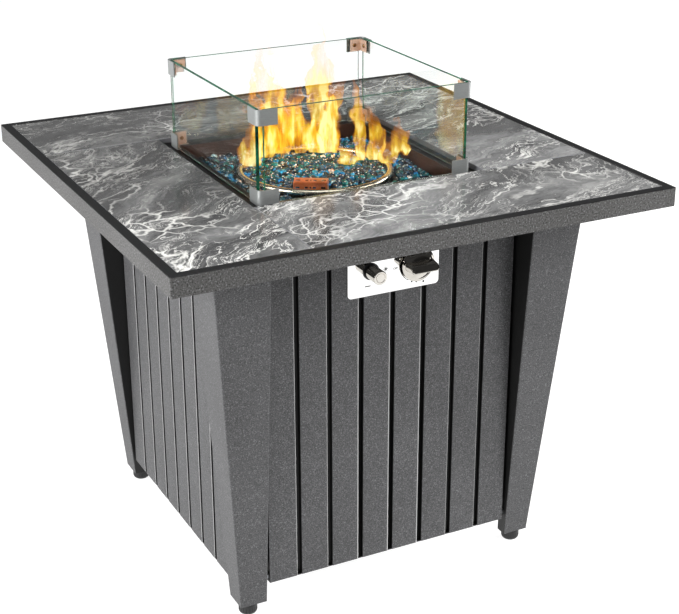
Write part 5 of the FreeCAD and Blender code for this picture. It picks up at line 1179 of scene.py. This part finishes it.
    def surroundings(self, scene):
        """White to look at, dim as a light source, and darker overhead and in front."""
        world = bpy.data.worlds.new("pale_studio")
        world.use_nodes = True
        tree = world.node_tree
        tree.nodes.clear()
        heading = add(tree, "SeparateXYZ", {0: add(tree, "TexCoord").outputs["Generated"]}).outputs
        level = remap(tree, heading["Z"], (-1.0, 1.0))
        high = ramp_of(tree, level, (0.42, grey(0.35)), (0.5, grey(1.0)), (0.62, grey(1.0)), (0.8, grey(0.4)))
        around = reckon(tree, "MULTIPLY", high, remap(tree, heading["Y"], (-0.3, 0.3), (0.05, 0.28)))
        strength = reckon(tree, "MAXIMUM", around, add(tree, "LightPath").outputs["Is Camera Ray"])
        background = add(tree, "Background", {"Color": grey(1.0), "Strength": strength})
        add(tree, "OutputWorld", {"Surface": background.outputs[0]})
        scene.world = world

    def lights(self):
        """Soft boxes round the table, and the glow of the flames on what is near them."""
        # Place, target, width, height and power of each box, and whether it shows in reflections
        plan = (("left_softbox", (-3.0, -0.4, 1.7), (0, 0, 0.35), 1.8, 1.8, 178.0, True),
                ("front_fill", (2.2, -2.6, 2.0), (0.1, 0, 0.3), 2.0, 2.0, 140.0, False),
                ("right_softbox", (3.2, -0.2, 0.9), (0, 0, 0.4), 1.4, 1.8, 300.0, False),
                ("top_softbox", (-0.1, -1.0, 3.1), (0, -0.2, 0.6), 2.0, 2.0, 32.0, True))
        for name, place, target, width, height, power, mirrored in plan:
            light = self.light("AREA", name, place, power)
            light.data.shape = "RECTANGLE"
            light.data.size = width
            light.data.size_y = height
            light.visible_glossy = mirrored
            light.rotation_euler = (Vector(target) - Vector(place)).to_track_quat("-Z", "Y").to_euler()
        for i, across in enumerate((-60, 50)):
            light = self.light("POINT", f"flame_light_{i}", (across * MM, 20 * MM, BOWL_RIM + 60 * MM), 0.7)
            light.data.color = linear("#ff8a2c")
            light.data.shadow_soft_size = 40 * MM
            light.visible_camera = False
            light.visible_glossy = False
            light.visible_transmission = False

    def light(self, kind, name, place, power):
        bpy.ops.object.light_add(type=kind, location=place)
        light = bpy.context.object
        light.name = name
        light.data.energy = power
        return light

    def camera(self, scene):
        """The photograph's viewpoint, solved from the square top and the upright edges."""
        bpy.ops.object.camera_add()
        camera = bpy.context.object
        camera.name = "photo_camera"
        right = Vector((0.89173, -0.45256, -0.00264))
        up = Vector((0.17653, 0.34246, 0.92280))
        ahead = Vector((0.41672, 0.82336, -0.38527))
        turn = Matrix((right, up, -ahead)).transposed()
        camera.matrix_world = Matrix.Translation((-0.95498, -1.96577, 1.27128)) @ turn.to_4x4()
        camera.data.sensor_fit = "HORIZONTAL"
        camera.data.sensor_width = 36
        camera.data.lens = 79.457
        camera.data.clip_end = 60
        scene.camera = camera


class FIREPIT_PT_pieces(bpy.types.Panel):
    """Lists the pieces of the fire pit table"""

    bl_idname = "FIREPIT_PT_pieces"
    bl_label = "Fire pit table"
    bl_space_type = "VIEW_3D"
    bl_region_type = "UI"
    bl_category = "Fire pit"

    def draw(self, context):
        for operator in OPERATORS:
            self.layout.operator(operator.bl_idname)
        for group in (context.scene.fire_pit_sizes, context.scene.fire_pit_colours):
            for key in group.bl_rna.properties.keys():
                if key not in ("rna_type", "name"):
                    self.layout.prop(group, key)


OPERATORS = (
    FIREPIT_OT_stage,
    FIREPIT_OT_coated_steel,
    FIREPIT_OT_tiles,
    FIREPIT_OT_wind_guard,
    FIREPIT_OT_burner,
    FIREPIT_OT_igniter_cover,
    FIREPIT_OT_fire_glass,
    FIREPIT_OT_control_plate,
    FIREPIT_OT_control_knob,
    FIREPIT_OT_igniter_button,
    FIREPIT_OT_feet,
    FIREPIT_OT_door_pull,
    FIREPIT_OT_gas_train,
)
CLASSES = (FirePitColours, FirePitSizes, *OPERATORS, FIREPIT_PT_pieces)


def register():
    for item in CLASSES:
        bpy.utils.register_class(item)
    bpy.types.Scene.fire_pit_colours = bpy.props.PointerProperty(type=FirePitColours)
    bpy.types.Scene.fire_pit_sizes = bpy.props.PointerProperty(type=FirePitSizes)


def unregister():
    del bpy.types.Scene.fire_pit_sizes
    del bpy.types.Scene.fire_pit_colours
    for item in reversed(CLASSES):
        bpy.utils.unregister_class(item)


def main():
    register()
    bpy.ops.object.select_all(action="DESELECT")
    for operator in OPERATORS:
        group, name = operator.bl_idname.split(".")
        getattr(getattr(bpy.ops, group), name)()
    bpy.ops.object.select_all(action="DESELECT")


if __name__ == "__main__":
    main()
